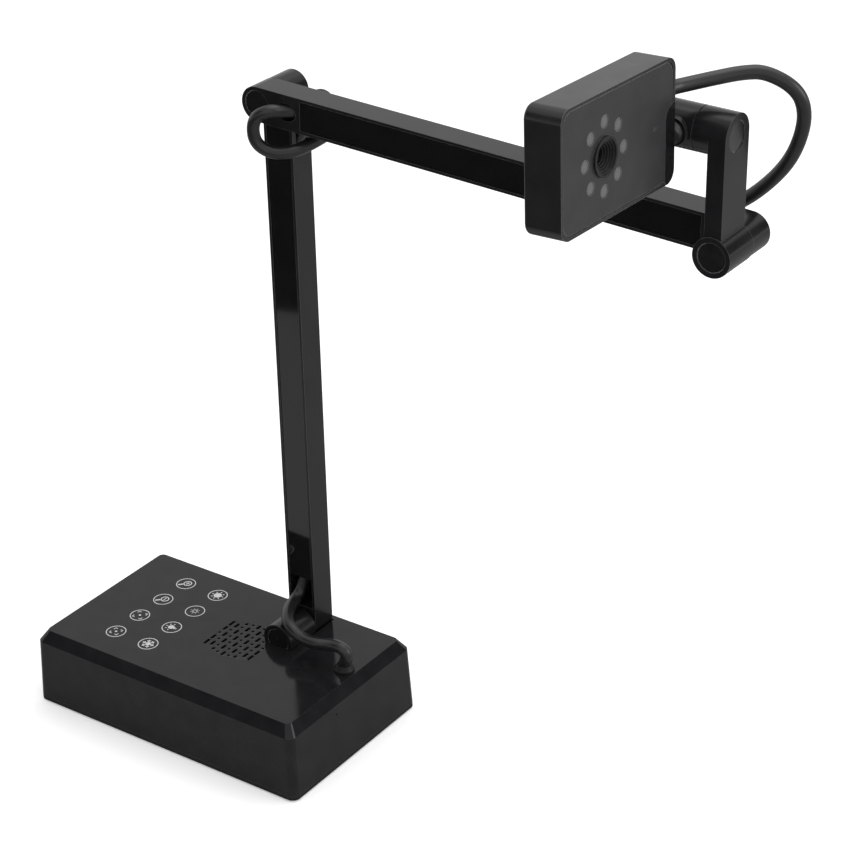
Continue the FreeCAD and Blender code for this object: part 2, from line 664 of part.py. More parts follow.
def boom_channel():
    half = "boomHeight/2"
    bar = box("BoomBar", ("boomLength", "armDepth", "boomHeight"), ("0", "boomFront", f"-{half}"))
    ends = [rod(f"BoomEnd{index}", "Y", half, "armDepth", (across, "boomFront", "0"))
            for index, across in enumerate(("0", "boomLength"))]
    trough = box("BoomTrough", ("boomPocketRight - boomPocketLeft", "armDepth - webThick",
                                "boomHeight - 2*channelWall"),
                 ("boomPocketLeft", "boomFront", f"channelWall - {half}"))
    front_port = slanted_port("BoomPort", "boomPort", "boomFront", "boomPortTurn", 6, 20)
    rear_port = slanted_port("BoomRearPort", "boomRearPort", "boomFront + armDepth",
                             "boomRearPortTurn", 10, 16)
    tools = [trough, front_port, rear_port]
    tools += front_seat("BoomElbow", "boomFront")
    tools += rear_seat("BoomWrist", "boomFront + armDepth", "boomLength")
    return finish(cut("BoomChannel", fuse("BoomBlank", bar, *ends), *tools), "boom_channel", BOOM)


def boom_cover():
    strip = box("BoomCover", ("boomPocketRight - boomPocketLeft - 2*coverGap", "coverThick",
                              "boomHeight - 2*channelWall - 2*coverGap"),
                ("boomPocketLeft + coverGap", "boomFront + coverSink",
                 "channelWall + coverGap - boomHeight/2"))
    return finish(strip, "boom_cover", BOOM)


# ---------------------------------------------------------------- forearm and knuckle
def forearm():
    """Flat stem between a lug along Y below and a barrel along X above."""
    lug = rod("ForearmLug", "Y", "forearmLug", "forearmBack - forearmLugFront",
              ("0", "forearmLugFront", "0"))
    stem = box("ForearmStem", ("forearmThick", "forearmBack - forearmFront", "forearmLength"),
               ("-forearmThick/2", "forearmFront", "0"))
    barrel = rod("NeckBarrel", "X", "neckRadius", "neckLeft + forearmThick/2",
                 ("-neckLeft", "(forearmFront + forearmBack)/2", "forearmLength"))
    tools = front_seat("Forearm", "forearmLugFront")
    recess = "capSink + capThick + boltHeadThick"
    tools.append(rod("NeckRecess", "X", "capRadius", recess,
                     (f"forearmThick/2 - ({recess})", "(forearmFront + forearmBack)/2",
                      "forearmLength")))
    tools.append(rod("NeckHole", "X", "boltRadius + runGap", "neckLeft + forearmThick",
                     ("-neckLeft - 1", "(forearmFront + forearmBack)/2", "forearmLength")))
    blank = fuse("ForearmBlank", lug, stem, barrel)
    return finish(cut("Forearm", blank, *tools), "forearm", FOREARM)


def knuckle():
    left = "-neckLeft - armSlit - knuckleLength"
    barrel = rod("KnuckleBarrel", "X", "neckRadius", "knuckleLength", (left, "0", "0"))
    boss = rod("TiltBoss", "Y", "tiltBoss", "bossProud", ("-tiltAcross", "-bossProud", "0"))
    thread = rod("KnuckleThread", "X", "boltRadius", "4", ("-neckLeft - armSlit - 4", "0", "0"))
    bore = rod("KnuckleBore", "Y", "tiltShaft + runGap", "bossProud + 5",
               ("-tiltAcross", "-bossProud", "0"))
    return finish(cut("Knuckle", fuse("KnuckleBlank", barrel, boss), thread, bore), "knuckle", KNUCKLE)


def neck_hardware():
    """Bolt, washer and cap of the hinge between the forearm and the knuckle."""
    seat = "forearmThick/2 - capSink - capThick - boltHeadThick"
    head = rod("NeckBoltHead", "X", "boltHead", "boltHeadThick - 0.1", (seat, "0", "0"))
    shank = rod("NeckBoltShank", "X", "boltRadius", f"({seat} + 1) + neckLeft + armSlit + 4",
                ("-neckLeft - armSlit - 4", "0", "0"))
    finish(fuse("NeckBolt", head, shank), "neck_bolt", KNUCKLE)
    cap = rod("NeckCap", "X", "capRadius", "capThick",
              ("forearmThick/2 - capSink - capThick", "0", "0"))
    finish(cap, "neck_cap", NECK)
    disc = rod("NeckWasherDisc", "X", "washerRadius", "washerThick",
               ("-neckLeft - armSlit + runGap", "0", "0"))
    eye = rod("NeckWasherEye", "X", "boltRadius + runGap", "washerThick",
              ("-neckLeft - armSlit + runGap", "0", "0"))
    finish(cut("NeckWasher", disc, eye), "neck_washer", KNUCKLE)


def tilt_hardware():
    """Shaft that the head turns on, and the ridged friction ring beside the knuckle."""
    shaft = rod("TiltShaft", "Y", "tiltShaft", "headSide + 10", ("0", "-headSide - 6", "0"))
    finish(shaft, "tilt_shaft", HEAD)
    body = new_body("TiltRing")
    profile = new_sketch(body, "TiltRingProfile", "XZ_Plane")
    bore, side = dim("tiltShaft"), dim("headSide")
    near = dim("bossProud") + 0.3
    corners = [(bore, near), (5.4, near), (5.4, near + 2.2), (4.5, near + 2.8),
               (4.5, near + 5.0), (5.2, near + 5.6), (5.2, side), (bore, side)]
    draw_outline(profile, corners)
    spin(body, "TiltRingTurned", profile, "V_Axis")
    body.Placement = Placement(Vector(), Rotation(AXIS_X, 90))
    return finish(body, "tilt_ring", HEAD)


# ---------------------------------------------------------------- camera head
HEAD_LOW = "headRise - headHeight/2"
HEAD_BACK = "headFront - headThick"
PANEL_BACK = "headFront - panelSink - panelThick"
LENS_UP = "headRise - lensDrop"
LENS_ALONG = "-headSide - lensAlong"


def head_block(name, inset="0"):
    """Rounded outline of the head, or of a smaller block inside it."""
    block = box(name, ("headThick", f"headWidth - 2*{inset}", f"headHeight - 2*{inset}"),
                (HEAD_BACK, f"-headSide - headWidth + {inset}", f"{HEAD_LOW} + {inset}"))
    return rounded(f"{name}Round", block, "headCorner", lambda edge: runs_along(edge, AXIS_X))


def notch_prism(name, gap="0"):
    """The part of the head's front that the hinge cover takes: its free lower corner."""
    floor = f"headFront - notchDeep - {gap}"
    prism = box(f"{name}Prism", ("notchDeep + 4", "notchWide + 4", "headHeight/2 + notchTop + 3"),
                (floor, "-headSide - notchWide", f"{HEAD_LOW} - 3"))
    return rounded(f"{name}Arc", prism, "notchCorner",
                   lambda edge: runs_along(edge, AXIS_X)
                   and edge.BoundBox.ZMin > dim("headRise") and edge.BoundBox.YMax < -dim("headSide"))


def head_housing():
    """Open-fronted box with a ledge for the panel and a notch for the hinge cover."""
    shell = head_block("HeadShell")
    shell = rounded("HeadShellSoft", shell, "headSoft",
                    lambda edge: lies_flat(edge, dim("headFront") - dim("headThick"), "x"))
    seat = box("PanelSeat", ("panelSink + panelThick", "headWidth - 2*headRim",
                             "headHeight - 2*headRim"),
               (PANEL_BACK, "-headSide - headWidth + headRim", f"{HEAD_LOW} + headRim"))
    seat = rounded("PanelSeatRound", seat, "headCorner", lambda edge: runs_along(edge, AXIS_X))
    inside = box("HeadInside", ("headThick - headWall", "headWidth - 2*headRim - 3",
                                "headHeight - 2*headRim - 3"),
                 (f"{HEAD_BACK} + headWall", "-headSide - headWidth + headRim + 1.5",
                  f"{HEAD_LOW} + headRim + 1.5"))
    cable_hole = rod("HeadCableHole", "Y", "glandRadius - 0.6", "10",
                     ("0", "-headSide - 8", "cableRise"))
    shaft_hole = rod("HeadShaftHole", "Y", "tiltShaft", "10", ("0", "-headSide - 8", "0"))
    housing = cut("HeadHousing", shell, seat, inside, notch_prism("Notch"), cable_hole, shaft_hole)
    return finish(housing, "head_housing", HEAD)


def hinge_cover():
    """Glossy corner piece over the tilt hinge; its front falls away towards the bottom."""
    corner = common("CoverCorner", head_block("CoverBlock"), notch_prism("CoverNotch", "-0.1"))
    slope = box("CoverSlope", ("12", "notchWide + 6", "60"), ("0", "-headSide - notchWide - 1", "-60"))
    slope.Placement = turned(Vector(), AXIS_Y, 7)
    set_place(slope, ("headFront - 0.4", "-headSide - notchWide - 1", "headRise + notchTop - 60"))
    inner = box("CoverInside", ("notchDeep", "notchWide - 2", "headHeight/2 + notchTop - 4"),
                ("headFront - notchDeep - 3", "-headSide - notchWide - 0.5", f"{HEAD_LOW} + 2"))
    clearance = rod("CoverShaftHole", "Y", "tiltShaft", "12", ("0", "-headSide - 10", "0"))
    gland_hole = rod("CoverGlandHole", "Y", "glandRadius - 0.6", "12",
                     ("0", "-headSide - 10", "cableRise"))
    cover = cut("HingeCover", corner, slope, inner, clearance, gland_hole)
    return finish(cover, "hinge_cover", HEAD)


def head_panel():
    """Inset front panel with a lens hole, eight window holes and a microphone hole."""
    sheet_panel = box("PanelSheet", ("panelThick", "headWidth - 2*(headRim + panelGap)",
                                     "headHeight - 2*(headRim + panelGap)"),
                      (PANEL_BACK, "-headSide - headWidth + headRim + panelGap",
                       f"{HEAD_LOW} + headRim + panelGap"))
    sheet_panel = rounded("PanelRound", sheet_panel, "headCorner",
                          lambda edge: runs_along(edge, AXIS_X))
    holes = [rod("PanelLensHole", "X", "lensOuter + 0.1", "panelThick",
                 (PANEL_BACK, LENS_ALONG, LENS_UP)),
             rod("PanelMicHole", "X", "pinholeRadius", "panelThick",
                 (PANEL_BACK, "-headSide - micAlong", "headRise"))]
    for index in range(8):
        holes.append(rod(f"PanelWindow{index}", "X", "ledRadius", "panelThick",
                         (PANEL_BACK, *led_centre(index))))
    holes.append(notch_prism("PanelNotch", "0"))
    return finish(cut("HeadPanel", sheet_panel, *holes), "head_panel", HEAD)


def led_centre(index):
    """Y and Z of one of the eight windows around the lens."""
    turn = f"{45 * index} deg"
    return f"{LENS_ALONG} + ledRing*cos({turn})", f"{LENS_UP} + ledRing*sin({turn})"


def led_windows():
    discs = [rod(f"Window{index}", "X", "ledRadius", "panelThick - 0.1",
                 (PANEL_BACK, *led_centre(index))) for index in range(8)]
    return finish(group("LedWindows", *discs), "led_windows", HEAD)


def led_board():
    """Ring-shaped board with the eight lamps, close behind the windows."""
    disc = rod("LedDisc", "X", "ledRing + 4.5", "1.2", (f"{PANEL_BACK} - 2.6", LENS_ALONG, LENS_UP))
    eye = rod("LedEye", "X", "lensOuter + 1", "1.2", (f"{PANEL_BACK} - 2.6", LENS_ALONG, LENS_UP))
    lamps = [rod(f"Lamp{index}", "X", "1.6", "1.2", (f"{PANEL_BACK} - 1.4", *led_centre(index)))
             for index in range(8)]
    return finish(fuse("LedBoard", cut("LedRing", disc, eye), *lamps), "led_board", HEAD)


def lens_barrel():
    """Black barrel whose mouth steps inwards, turned about the optical axis."""
    body = new_body("LensBarrel")
    profile = new_sketch(body, "LensProfile", "XZ_Plane")
    outer = dim("lensOuter")
    mouth = dim("headFront") + dim("lensProud")
    tail = dim("headFront") - dim("headThick") + dim("headWall") + 3.2
    collar = mouth - dim("lensCollar")
    corners = [(tail, 0.0), (tail, outer - 1.5), (collar, outer - 1.5), (collar, outer), (mouth, outer)]
    radius = outer - dim("lensRim")
    depth = mouth
    corners.append((depth, radius))
    for _ in range(int(dim("lensSteps"))):
        depth -= dim("stepPitch")
        corners.append((depth, radius))
        radius -= dim("stepTread")
        corners.append((depth, radius))
    corners.append((depth - dim("glassSeat"), radius))
    corners.append((depth - dim("glassSeat"), 0.0))
    draw_outline(profile, corners)
    spin(body, "LensTurned", profile, "H_Axis")
    body.Placement = Placement(Vector(0, -dim("headSide") - dim("lensAlong"),
                                      dim("headRise") - dim("lensDrop")), Rotation())
    return finish(body, "lens_barrel", HEAD)


def lens_glass():
    """Front element: a short cylinder under a dome, seated on the barrel's floor."""
    floor = "headFront + lensProud - lensSteps*stepPitch - glassSeat"
    rim = rod("GlassRim", "X", "lensOuter - lensRim - lensSteps*stepTread - glassGap", "glassThick",
              (floor, LENS_ALONG, LENS_UP))
    dome = doc.addObject("Part::Sphere", "GlassDome")
    dome.setExpression("Radius", bound("glassCurve"))
    set_place(dome, (f"{floor} + glassThick - glassCurve", LENS_ALONG, LENS_UP))
    return finish(common("LensGlass", rim, dome), "lens_glass", HEAD)


def sensor_board():
    sheet_board = box("SensorBoard", ("1.4", "34", "34"),
                      (f"{HEAD_BACK} + headWall + 1.6", f"{LENS_ALONG} - 17", f"{LENS_UP} - 17"))
    return finish(sheet_board, "sensor_board", HEAD)


def microphone():
    capsule = rod("Microphone", "X", "3", "2.2",
                  (f"{PANEL_BACK} - 2.2", "-headSide - micAlong", "headRise"))
    return finish(capsule, "microphone", HEAD)


def head_gland():
    """Rubber ring that the cable goes through into the side of the head."""
    flange = rod("GlandFlange", "Y", "glandRadius", "glandFlange", ("0", "-headSide", "cableRise"))
    sleeve = rod("GlandSleeve", "Y", "glandRadius - 0.6", "headRim + 1.5",
                 ("0", "-headSide - headRim - 1.5", "cableRise"))
    bore = rod("GlandBore", "Y", "cableDiameter/2", "12", ("0", "-headSide - 6", "cableRise"))
    return finish(cut("HeadGland", fuse("GlandBlank", flange, sleeve), bore), "head_gland", HEAD)


# ---------------------------------------------------------------- cables
BASE_CABLE = [(78.8, 8.4, 38.5), (78.8, 8.4, 46), (80, 8, 51.4), (81.9, 7.6, 55.6),
              (80.9, 7.2, 59.4), (77.1, 7, 61.5), (71, 7, 59.8), (62.4, 7.3, 56.2),
              (54.2, 7.2, 55.9), (47.2, 7, 58), (41, 9, 61), (36.6, 13.8, 62.2),
              (33.1, 20, 62.6), (31.2, 27, 62.8), (31, 32.6, 65.4), (32.6, 35.4, 73),
              (34.2, 37, 81), (34.5, 37, 89.2)]
ELBOW_CABLE = [(37.5, 37.2, 311), (38.4, 37.2, 322), (42.6, 37.4, 332), (48.9, 38, 340),
               (52.6, 38.8, 350), (55.8, 39.6, 358), (61.8, 39.8, 358.2), (66.8, 38.2, 351),
               (67.4, 33.6, 342), (64, 24, 339.2), (59, 15, 336.4), (50.5, 8.5, 336.2),
               (43.6, 5, 341.4), (43, 4.2, 350), (46, 4.4, 356.4), (52.4, 6.6, 359.6),
               (55.6, 14, 357.4), (61, 20.4, 356.4), (71, 23.4, 356.2), (81, 23, 355.6)]
HEAD_CABLE_LOW = [(262, 21.6, 346.8), (271, 24.6, 346.4), (281, 32.5, 346.4), (291, 37.4, 350.4),
                  (302.8, 37.8, 359.4), (309.2, 37.6, 366.4)]
HEAD_CABLE_MIDDLE = [(309.2, 37.6, 366.4), (315.6, 37.4, 373.4), (322.4, 36.8, 386.4),
                     (326, 35, 401.4), (323.2, 31.5, 413), (317.4, 28.2, 416.8)]
HEAD_CABLE_HIGH = [(317.4, 28.2, 416.8), (311.6, 24.9, 420.6), (304, 18, 421),
                   (297, 9, 420.3), (290.2, -1, 419.6), (284.9, -11, 419.45),
                   (284.9, -21.5, 419.8)]


def bend(before, corner, after):
    """Where an arc that rounds a corner of the route starts, passes and ends, and its radius."""
    back = before - corner
    ahead = after - corner
    run = min(back.Length, ahead.Length)
    back.normalize()
    ahead.normalize()
    half_turn = (math.pi - back.getAngle(ahead)) / 2
    reach = 0.45 * run
    radius = reach / math.tan(half_turn)
    towards = (back + ahead).normalize()
    middle = corner + towards * (radius / math.cos(half_turn) - radius)
    return corner + back * reach, middle, corner + ahead * reach, radius


def cable(name, node, route, thickness="cableDiameter"):
    """Round tube along straight runs joined by tangent arcs."""
    points = [Vector(*point) for point in route]
    edges = []
    radii = []
    last = points[0]
    for before, corner, after in zip(points, points[1:], points[2:]):
        start, middle, end, radius = bend(before, corner, after)
        edges.append(Part.LineSegment(last, start).toShape())
        edges.append(Part.Arc(start, middle, end).toShape())
        radii.append(radius)
        last = end
    edges.append(Part.LineSegment(last, points[-1]).toShape())
    path = Part.Wire(edges)
    half = dim(thickness) / 2
    section = Part.Wire(Part.makeCircle(half, points[0], points[1] - points[0]))
    tube = path.makePipeShell([section], True, False)
    print(f"{node}: length {path.Length:.0f}, radii", " ".join(f"{value:.1f}" for value in radii))
    expected = math.pi * half ** 2 * path.Length
    if abs(tube.Volume / expected - 1) > 0.01:
        raise ValueError(f"{node}: volume {tube.Volume:.0f}, expected {expected:.0f}")
    feature = doc.addObject("Part::Feature", name)
    feature.Shape = tube
    return finish(feature, node)


# ---------------------------------------------------------------- assembly
def build():
    base_shell()
    base_plate()
    base_screws()
    rubber_pad()
    counterweight()
    main_board()
    usb_port()
    touch_board()
    touch_icons()
    speaker()
    cable_boot()
    hinge_bracket()
    bracket_screws()
    hinge_frame = Placement(MAST.Base, Rotation())
    y_hinge("Foot", hinge_frame, "lugFront", "mastFront")
    rear_cap("Foot", MAST, "0", "0", "mastFront + armDepth")
    mast_channel()
    mast_cover()
    y_hinge("Elbow", BOOM, "boomFront", "mastFront")
    rear_cap("Elbow", MAST, "0", "mastLength", "mastFront + armDepth")
    boom_channel()
    boom_cover()
    y_hinge("Wrist", FOREARM, "forearmLugFront", "boomFront")
    rear_cap("Wrist", BOOM, "boomLength", "0", "boomFront + armDepth")
    forearm()
    knuckle()
    neck_hardware()
    tilt_hardware()
    head_housing()
    hinge_cover()
    head_panel()
    led_windows()
    led_board()
    lens_barrel()
    lens_glass()
    sensor_board()
    microphone()
    head_gland()
    cable("BaseCable", "base_cable", BASE_CABLE, "baseCableDiameter")
    cable("ElbowCable", "elbow_cable", ELBOW_CABLE)
    cable("HeadCableLow", "head_cable_low", HEAD_CABLE_LOW)
    cable("HeadCableMiddle", "head_cable_middle", HEAD_CABLE_MIDDLE)
    cable("HeadCableHigh", "head_cable_high", HEAD_CABLE_HIGH)


def check_document():
    for item in doc.Objects:
        if "Invalid" in item.State or "Error" in item.State:
            raise ValueError(f"{item.Name} did not recompute")
    for item in SUBPARTS:
        if item.Shape.isNull() or not item.Shape.isValid():
            raise ValueError(f"{item.Label} has no valid shape")
        if len(item.Label) >= NAME_LIMIT:
            raise ValueError(f"{item.Label} is too long a name")


def export():
    os.makedirs("parts", exist_ok=True)
    for item in SUBPARTS:
        item.Shape.exportStep(f"parts/{item.Label}.step")
        bounds = item.Shape.BoundBox
        print(f"{item.Label:20s} {item.Shape.Volume / 1000:8.2f} cm3  "
              f"{bounds.XMin:7.1f} {bounds.YMin:7.1f} {bounds.ZMin:7.1f}  "
              f"{bounds.XMax:7.1f} {bounds.YMax:7.1f} {bounds.ZMax:7.1f}")


build()
doc.recompute()
check_document()
export()
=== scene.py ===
"""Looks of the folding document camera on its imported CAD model.

Metres, +Z up, the origin on the table under the base.
"""
import math

import bmesh
import bpy
from mathutils import Matrix, Vector
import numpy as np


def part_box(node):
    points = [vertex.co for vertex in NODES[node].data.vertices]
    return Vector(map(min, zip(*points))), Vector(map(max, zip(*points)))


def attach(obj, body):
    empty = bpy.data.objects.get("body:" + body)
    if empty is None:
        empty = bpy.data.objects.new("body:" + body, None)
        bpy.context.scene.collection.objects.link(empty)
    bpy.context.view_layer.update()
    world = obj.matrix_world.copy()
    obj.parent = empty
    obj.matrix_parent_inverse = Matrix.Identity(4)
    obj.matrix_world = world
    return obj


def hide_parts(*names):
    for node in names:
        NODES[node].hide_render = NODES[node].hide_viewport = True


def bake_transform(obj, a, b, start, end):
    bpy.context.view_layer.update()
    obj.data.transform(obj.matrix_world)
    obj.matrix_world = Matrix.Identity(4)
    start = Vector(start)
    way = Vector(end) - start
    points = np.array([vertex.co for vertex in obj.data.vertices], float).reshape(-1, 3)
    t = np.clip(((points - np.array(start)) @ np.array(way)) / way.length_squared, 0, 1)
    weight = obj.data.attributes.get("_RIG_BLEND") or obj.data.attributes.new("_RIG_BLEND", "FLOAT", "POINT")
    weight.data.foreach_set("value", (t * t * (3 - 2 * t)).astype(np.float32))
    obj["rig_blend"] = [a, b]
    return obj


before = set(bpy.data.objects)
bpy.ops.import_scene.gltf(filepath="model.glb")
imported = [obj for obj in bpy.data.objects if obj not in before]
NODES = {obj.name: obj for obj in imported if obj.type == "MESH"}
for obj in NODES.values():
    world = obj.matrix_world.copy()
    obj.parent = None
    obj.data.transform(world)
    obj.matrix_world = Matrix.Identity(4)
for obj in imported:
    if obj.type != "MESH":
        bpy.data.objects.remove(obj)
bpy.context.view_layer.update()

MM = 0.001

# ---------------------------------------------------------------- camera
VIEW_PLACE = (0.7782, -0.8638, 0.7775)
VIEW_TURN = 36.27       # degrees from -Y towards +X
VIEW_RISE = 27.66       # degrees above the table
VIEW_ROLL = -1.95
VIEW_LENS = 104.5       # mm
VIEW_SENSOR = 36        # mm


def add_camera():
    """Looks down at the object from its right front corner."""
    turn, rise, roll = (math.radians(angle) for angle in (VIEW_TURN, VIEW_RISE, VIEW_ROLL))
    back = Vector((math.sin(turn) * math.cos(rise), -math.cos(turn) * math.cos(rise),
                   math.sin(rise)))
    level = Vector((math.cos(turn), math.sin(turn), 0))
    upright = back.cross(level)
    right = level * math.cos(roll) + upright * math.sin(roll)
    up = upright * math.cos(roll) - level * math.sin(roll)
    camera = bpy.data.objects.new("camera", bpy.data.cameras.new("camera"))
    camera.data.lens = VIEW_LENS
    camera.data.sensor_width = VIEW_SENSOR
    facing = Matrix((right, up, back)).transposed().to_4x4()
    camera.matrix_world = Matrix.Translation(VIEW_PLACE) @ facing
    bpy.context.scene.collection.objects.link(camera)
    bpy.context.scene.camera = camera


# ---------------------------------------------------------------- node materials
WAVE_PERIOD = 0.314          # of a wave texture whose scale is 1
MIX_A, MIX_B, MIXED = 6, 7, 2    # colour sockets of a Mix node
EDGE_SHARP, EDGE_FLAT = 0.80, 0.985    # agreement of rounded and true normals at an edge


class Look:
    """A procedural material built around one Principled shader."""

    def __init__(self, name, **uniform):
        self.material = bpy.data.materials.new(name)
        self.material.use_nodes = True
        self.tree = self.material.node_tree
        self.shader = self.tree.nodes["Principled BSDF"]
        self.height = None
        for socket, value in uniform.items():
            self.shader.inputs[socket.replace("_", " ")].default_value = value

    def node(self, kind, inputs=(), **settings):
        made = self.tree.nodes.new("ShaderNode" + kind)
        for name, value in settings.items():
            setattr(made, name, value)
        for name, value in dict(inputs).items():
            if isinstance(value, bpy.types.NodeSocket):
                self.tree.links.new(value, made.inputs[name])
            else:
                made.inputs[name].default_value = value
        return made

    def places(self, stretch=(1, 1, 1), uv=None):
        """Positions on the surface in metres, stretched by a factor along each axis."""
        if uv:
            source = self.node("UVMap", uv_map=uv).outputs["UV"]
        else:
            source = self.node("TexCoord").outputs["Object"]
        return self.node("Mapping", {"Vector": source, "Scale": stretch}).outputs["Vector"]

    def noise(self, size, detail=3.0, stretch=(1, 1, 1), uv=None):
        """Cloudy values from 0 to 1 with patches about size across, in metres."""
        return self.node("TexNoise", {"Vector": self.places(stretch, uv), "Scale": 1 / size,
                                      "Detail": detail}).outputs["Fac"]

    def cells(self, size, stretch=(1, 1, 1), uv=None):
        """Distance to the middle of irregular cells about size across."""
        return self.node("TexVoronoi", {"Vector": self.places(stretch, uv),
                                        "Scale": 1 / size}).outputs["Distance"]

    def bands(self, size, axis):
        """Waves across an axis with a period of size."""
        return self.node("TexWave", {"Vector": self.places(), "Scale": WAVE_PERIOD / size,
                                     "Distortion": 0.0, "Detail": 1.0},
                         bands_direction=axis).outputs["Fac"]

    def between(self, source, low, high, start=0.3, end=0.7):
        """A value that runs from low to high as source goes from start to end."""
        return self.node("MapRange", {"Value": source, "From Min": start, "From Max": end,
                                      "To Min": low, "To Max": high}).outputs["Result"]

    def tint(self, source, dark, light):
        """A colour between dark and light."""
        mixed = self.node("Mix", data_type="RGBA")
        self.tree.links.new(source, mixed.inputs["Factor"])
        mixed.inputs[MIX_A].default_value = (*dark, 1)
        mixed.inputs[MIX_B].default_value = (*light, 1)
        return mixed.outputs[MIXED]

    def blend_in(self, colour, mask, light):
        """Lightens a colour where mask is 1."""
        mixed = self.node("Mix", data_type="RGBA")
        self.tree.links.new(mask, mixed.inputs["Factor"])
        self.tree.links.new(colour, mixed.inputs[MIX_A])
        mixed.inputs[MIX_B].default_value = (*light, 1)
        return mixed.outputs[MIXED]

    def edges(self, width):
        """1 along sharp edges and 0 elsewhere: on most parts it marks wear where handling polishes the
        surface, and on the caps it carries a painted highlight.
        """
        soft = self.node("Bevel", {"Radius": width}, samples=4).outputs["Normal"]
        flat = self.node("NewGeometry").outputs["Normal"]
        facing = self.node("VectorMath", {0: soft, 1: flat}, operation="DOT_PRODUCT")
        return self.between(facing.outputs["Value"], 1.0, 0.0, EDGE_SHARP, EDGE_FLAT)

    def colour(self, source):
        self.tree.links.new(source, self.shader.inputs["Base Color"])

    def roughness(self, source):
        self.tree.links.new(source, self.shader.inputs["Roughness"])

    def bump(self, source, depth, strength=1.0):
        """Adds relief of a depth in metres on top of the relief so far."""
        inputs = {"Height": source, "Distance": depth, "Strength": strength}
        if self.height:
            inputs["Normal"] = self.height
        self.height = self.node("Bump", inputs).outputs["Normal"]
        self.tree.links.new(self.height, self.shader.inputs["Normal"])


def moulded(name, dark, light, smooth, rough, grain, depth, specular, wear=None, coat=0.0):
    """Moulded plastic: spark-eroded grain, faint flow marks and hand-polished patches."""
    look = Look(name, Specular_IOR_Level=specular, Coat_Weight=coat, Coat_Roughness=0.12)
    colour = look.tint(look.between(look.noise(11 * MM, 4.0), 0, 1), dark, light)
    if wear:
        colour = look.blend_in(colour, look.edges(0.35 * MM), wear)
    look.colour(colour)
    look.roughness(look.between(look.noise(23 * MM, 5.0), smooth, rough))
    look.bump(look.cells(grain), depth)
    look.bump(look.noise(grain * 5, 2.0), depth * 1.4, 0.5)
    return look.material


def extruded(name, dark, light, smooth, rough, stretch, specular, wear):
    """Anodised extrusion: faint die lines along its length under a matt skin."""
    look = Look(name, Specular_IOR_Level=specular)
    colour = look.tint(look.between(look.noise(17 * MM, 3.0), 0, 1), dark, light)
    look.colour(look.blend_in(colour, look.edges(0.3 * MM), wear))
    look.roughness(look.between(look.noise(31 * MM, 5.0), smooth, rough))
    look.bump(look.noise(0.6 * MM, 2.0, stretch), 0.002 * MM)
    look.bump(look.cells(0.35 * MM), 0.003 * MM)
    return look.material


def base_plastic():
    return moulded("base_plastic", (0.009, 0.009, 0.010), (0.013, 0.013, 0.014), 0.08, 0.14,
                   0.4 * MM, 0.003 * MM, 0.24, (0.04, 0.04, 0.042))


def head_plastic():
    return moulded("head_plastic", (0.007, 0.007, 0.008), (0.010, 0.010, 0.011), 0.24, 0.34,
                   0.45 * MM, 0.010 * MM, 0.50, (0.16, 0.16, 0.165))


def panel_plastic():
    return moulded("panel_plastic", (0.018, 0.018, 0.019), (0.024, 0.024, 0.026), 0.32, 0.42,
                   0.4 * MM, 0.010 * MM, 0.45, (0.28, 0.28, 0.285))


def ring_plastic():
    return moulded("ring_plastic", (0.012, 0.012, 0.013), (0.020, 0.020, 0.021), 0.22, 0.34,
                   0.3 * MM, 0.008 * MM, 0.5)


def cover_gloss():
    """Polished black cover strips and the cover of the tilt hinge."""
    look = Look("cover_gloss", Specular_IOR_Level=0.45, Coat_Weight=0.5, Coat_Roughness=0.05)
    look.colour(look.tint(look.noise(14 * MM, 3.0), (0.004, 0.004, 0.004), (0.007, 0.007, 0.007)))
    look.roughness(look.between(look.noise(19 * MM, 6.0), 0.03, 0.07))
    look.bump(look.noise(9 * MM, 1.0), 0.005 * MM, 0.6)
    return look.material


def arm_alloy(axis):
    """Anodised skin of the arms and the hinge bracket, with die lines along an axis."""
    stretch = {"X": (0.02, 1, 1), "Z": (1, 1, 0.02)}[axis]
    return extruded(f"arm_alloy_{axis}", (0.007, 0.007, 0.008), (0.010, 0.010, 0.011), 0.20, 0.28,
                    stretch, 0.34, (0.12, 0.12, 0.125))


def cap_paint():
    """Semi-gloss painted caps over the hinge bolts, with fine turning rings under the paint and a painted
    highlight: a light ring along their edges.
    """
    look = Look("cap_paint", Specular_IOR_Level=0.5, Coat_Weight=0.3, Coat_Roughness=0.1)
    colour = look.tint(look.noise(5 * MM, 3.0), (0.005, 0.005, 0.005), (0.009, 0.009, 0.009))
    # painted highlight: the light colour along the cap edges stands in for the bright rim where the light
    # catches them
    look.colour(look.blend_in(colour, look.edges(0.5 * MM), (0.50, 0.50, 0.51)))
    look.roughness(look.between(look.noise(7 * MM, 4.0), 0.16, 0.28))
    look.bump(look.noise(0.4 * MM, 2.0), 0.004 * MM)
    return look.material


def metal(name, dark, light, smooth, rough, scratch):
    """Bare or plated metal with turning marks and small colour changes."""
    look = Look(name, Metallic=1.0)
    look.colour(look.tint(look.noise(4 * MM, 4.0), dark, light))
    look.roughness(look.between(look.noise(2 * MM, 4.0), smooth, rough))
    look.bump(look.noise(scratch, 2.0, (1, 6, 1)), 0.004 * MM)
    return look.material


def plate_steel():
    """Steel bottom plate under black powder paint."""
    return moulded("plate_steel", (0.006, 0.006, 0.006), (0.010, 0.010, 0.010), 0.45, 0.60,
                   0.5 * MM, 0.012 * MM, 0.3, (0.05, 0.05, 0.05))


def fastener():
    return metal("fastener", (0.30, 0.30, 0.31), (0.42, 0.42, 0.43), 0.22, 0.36, 0.3 * MM)


def port_steel():
    return metal("port_steel", (0.52, 0.52, 0.53), (0.66, 0.66, 0.67), 0.16, 0.30, 0.3 * MM)


def weight_iron():
    return metal("weight_iron", (0.09, 0.085, 0.08), (0.16, 0.15, 0.14), 0.55, 0.75, 1.2 * MM)


def speaker_can():
    return metal("speaker_can", (0.07, 0.07, 0.075), (0.11, 0.11, 0.115), 0.40, 0.55, 0.8 * MM)


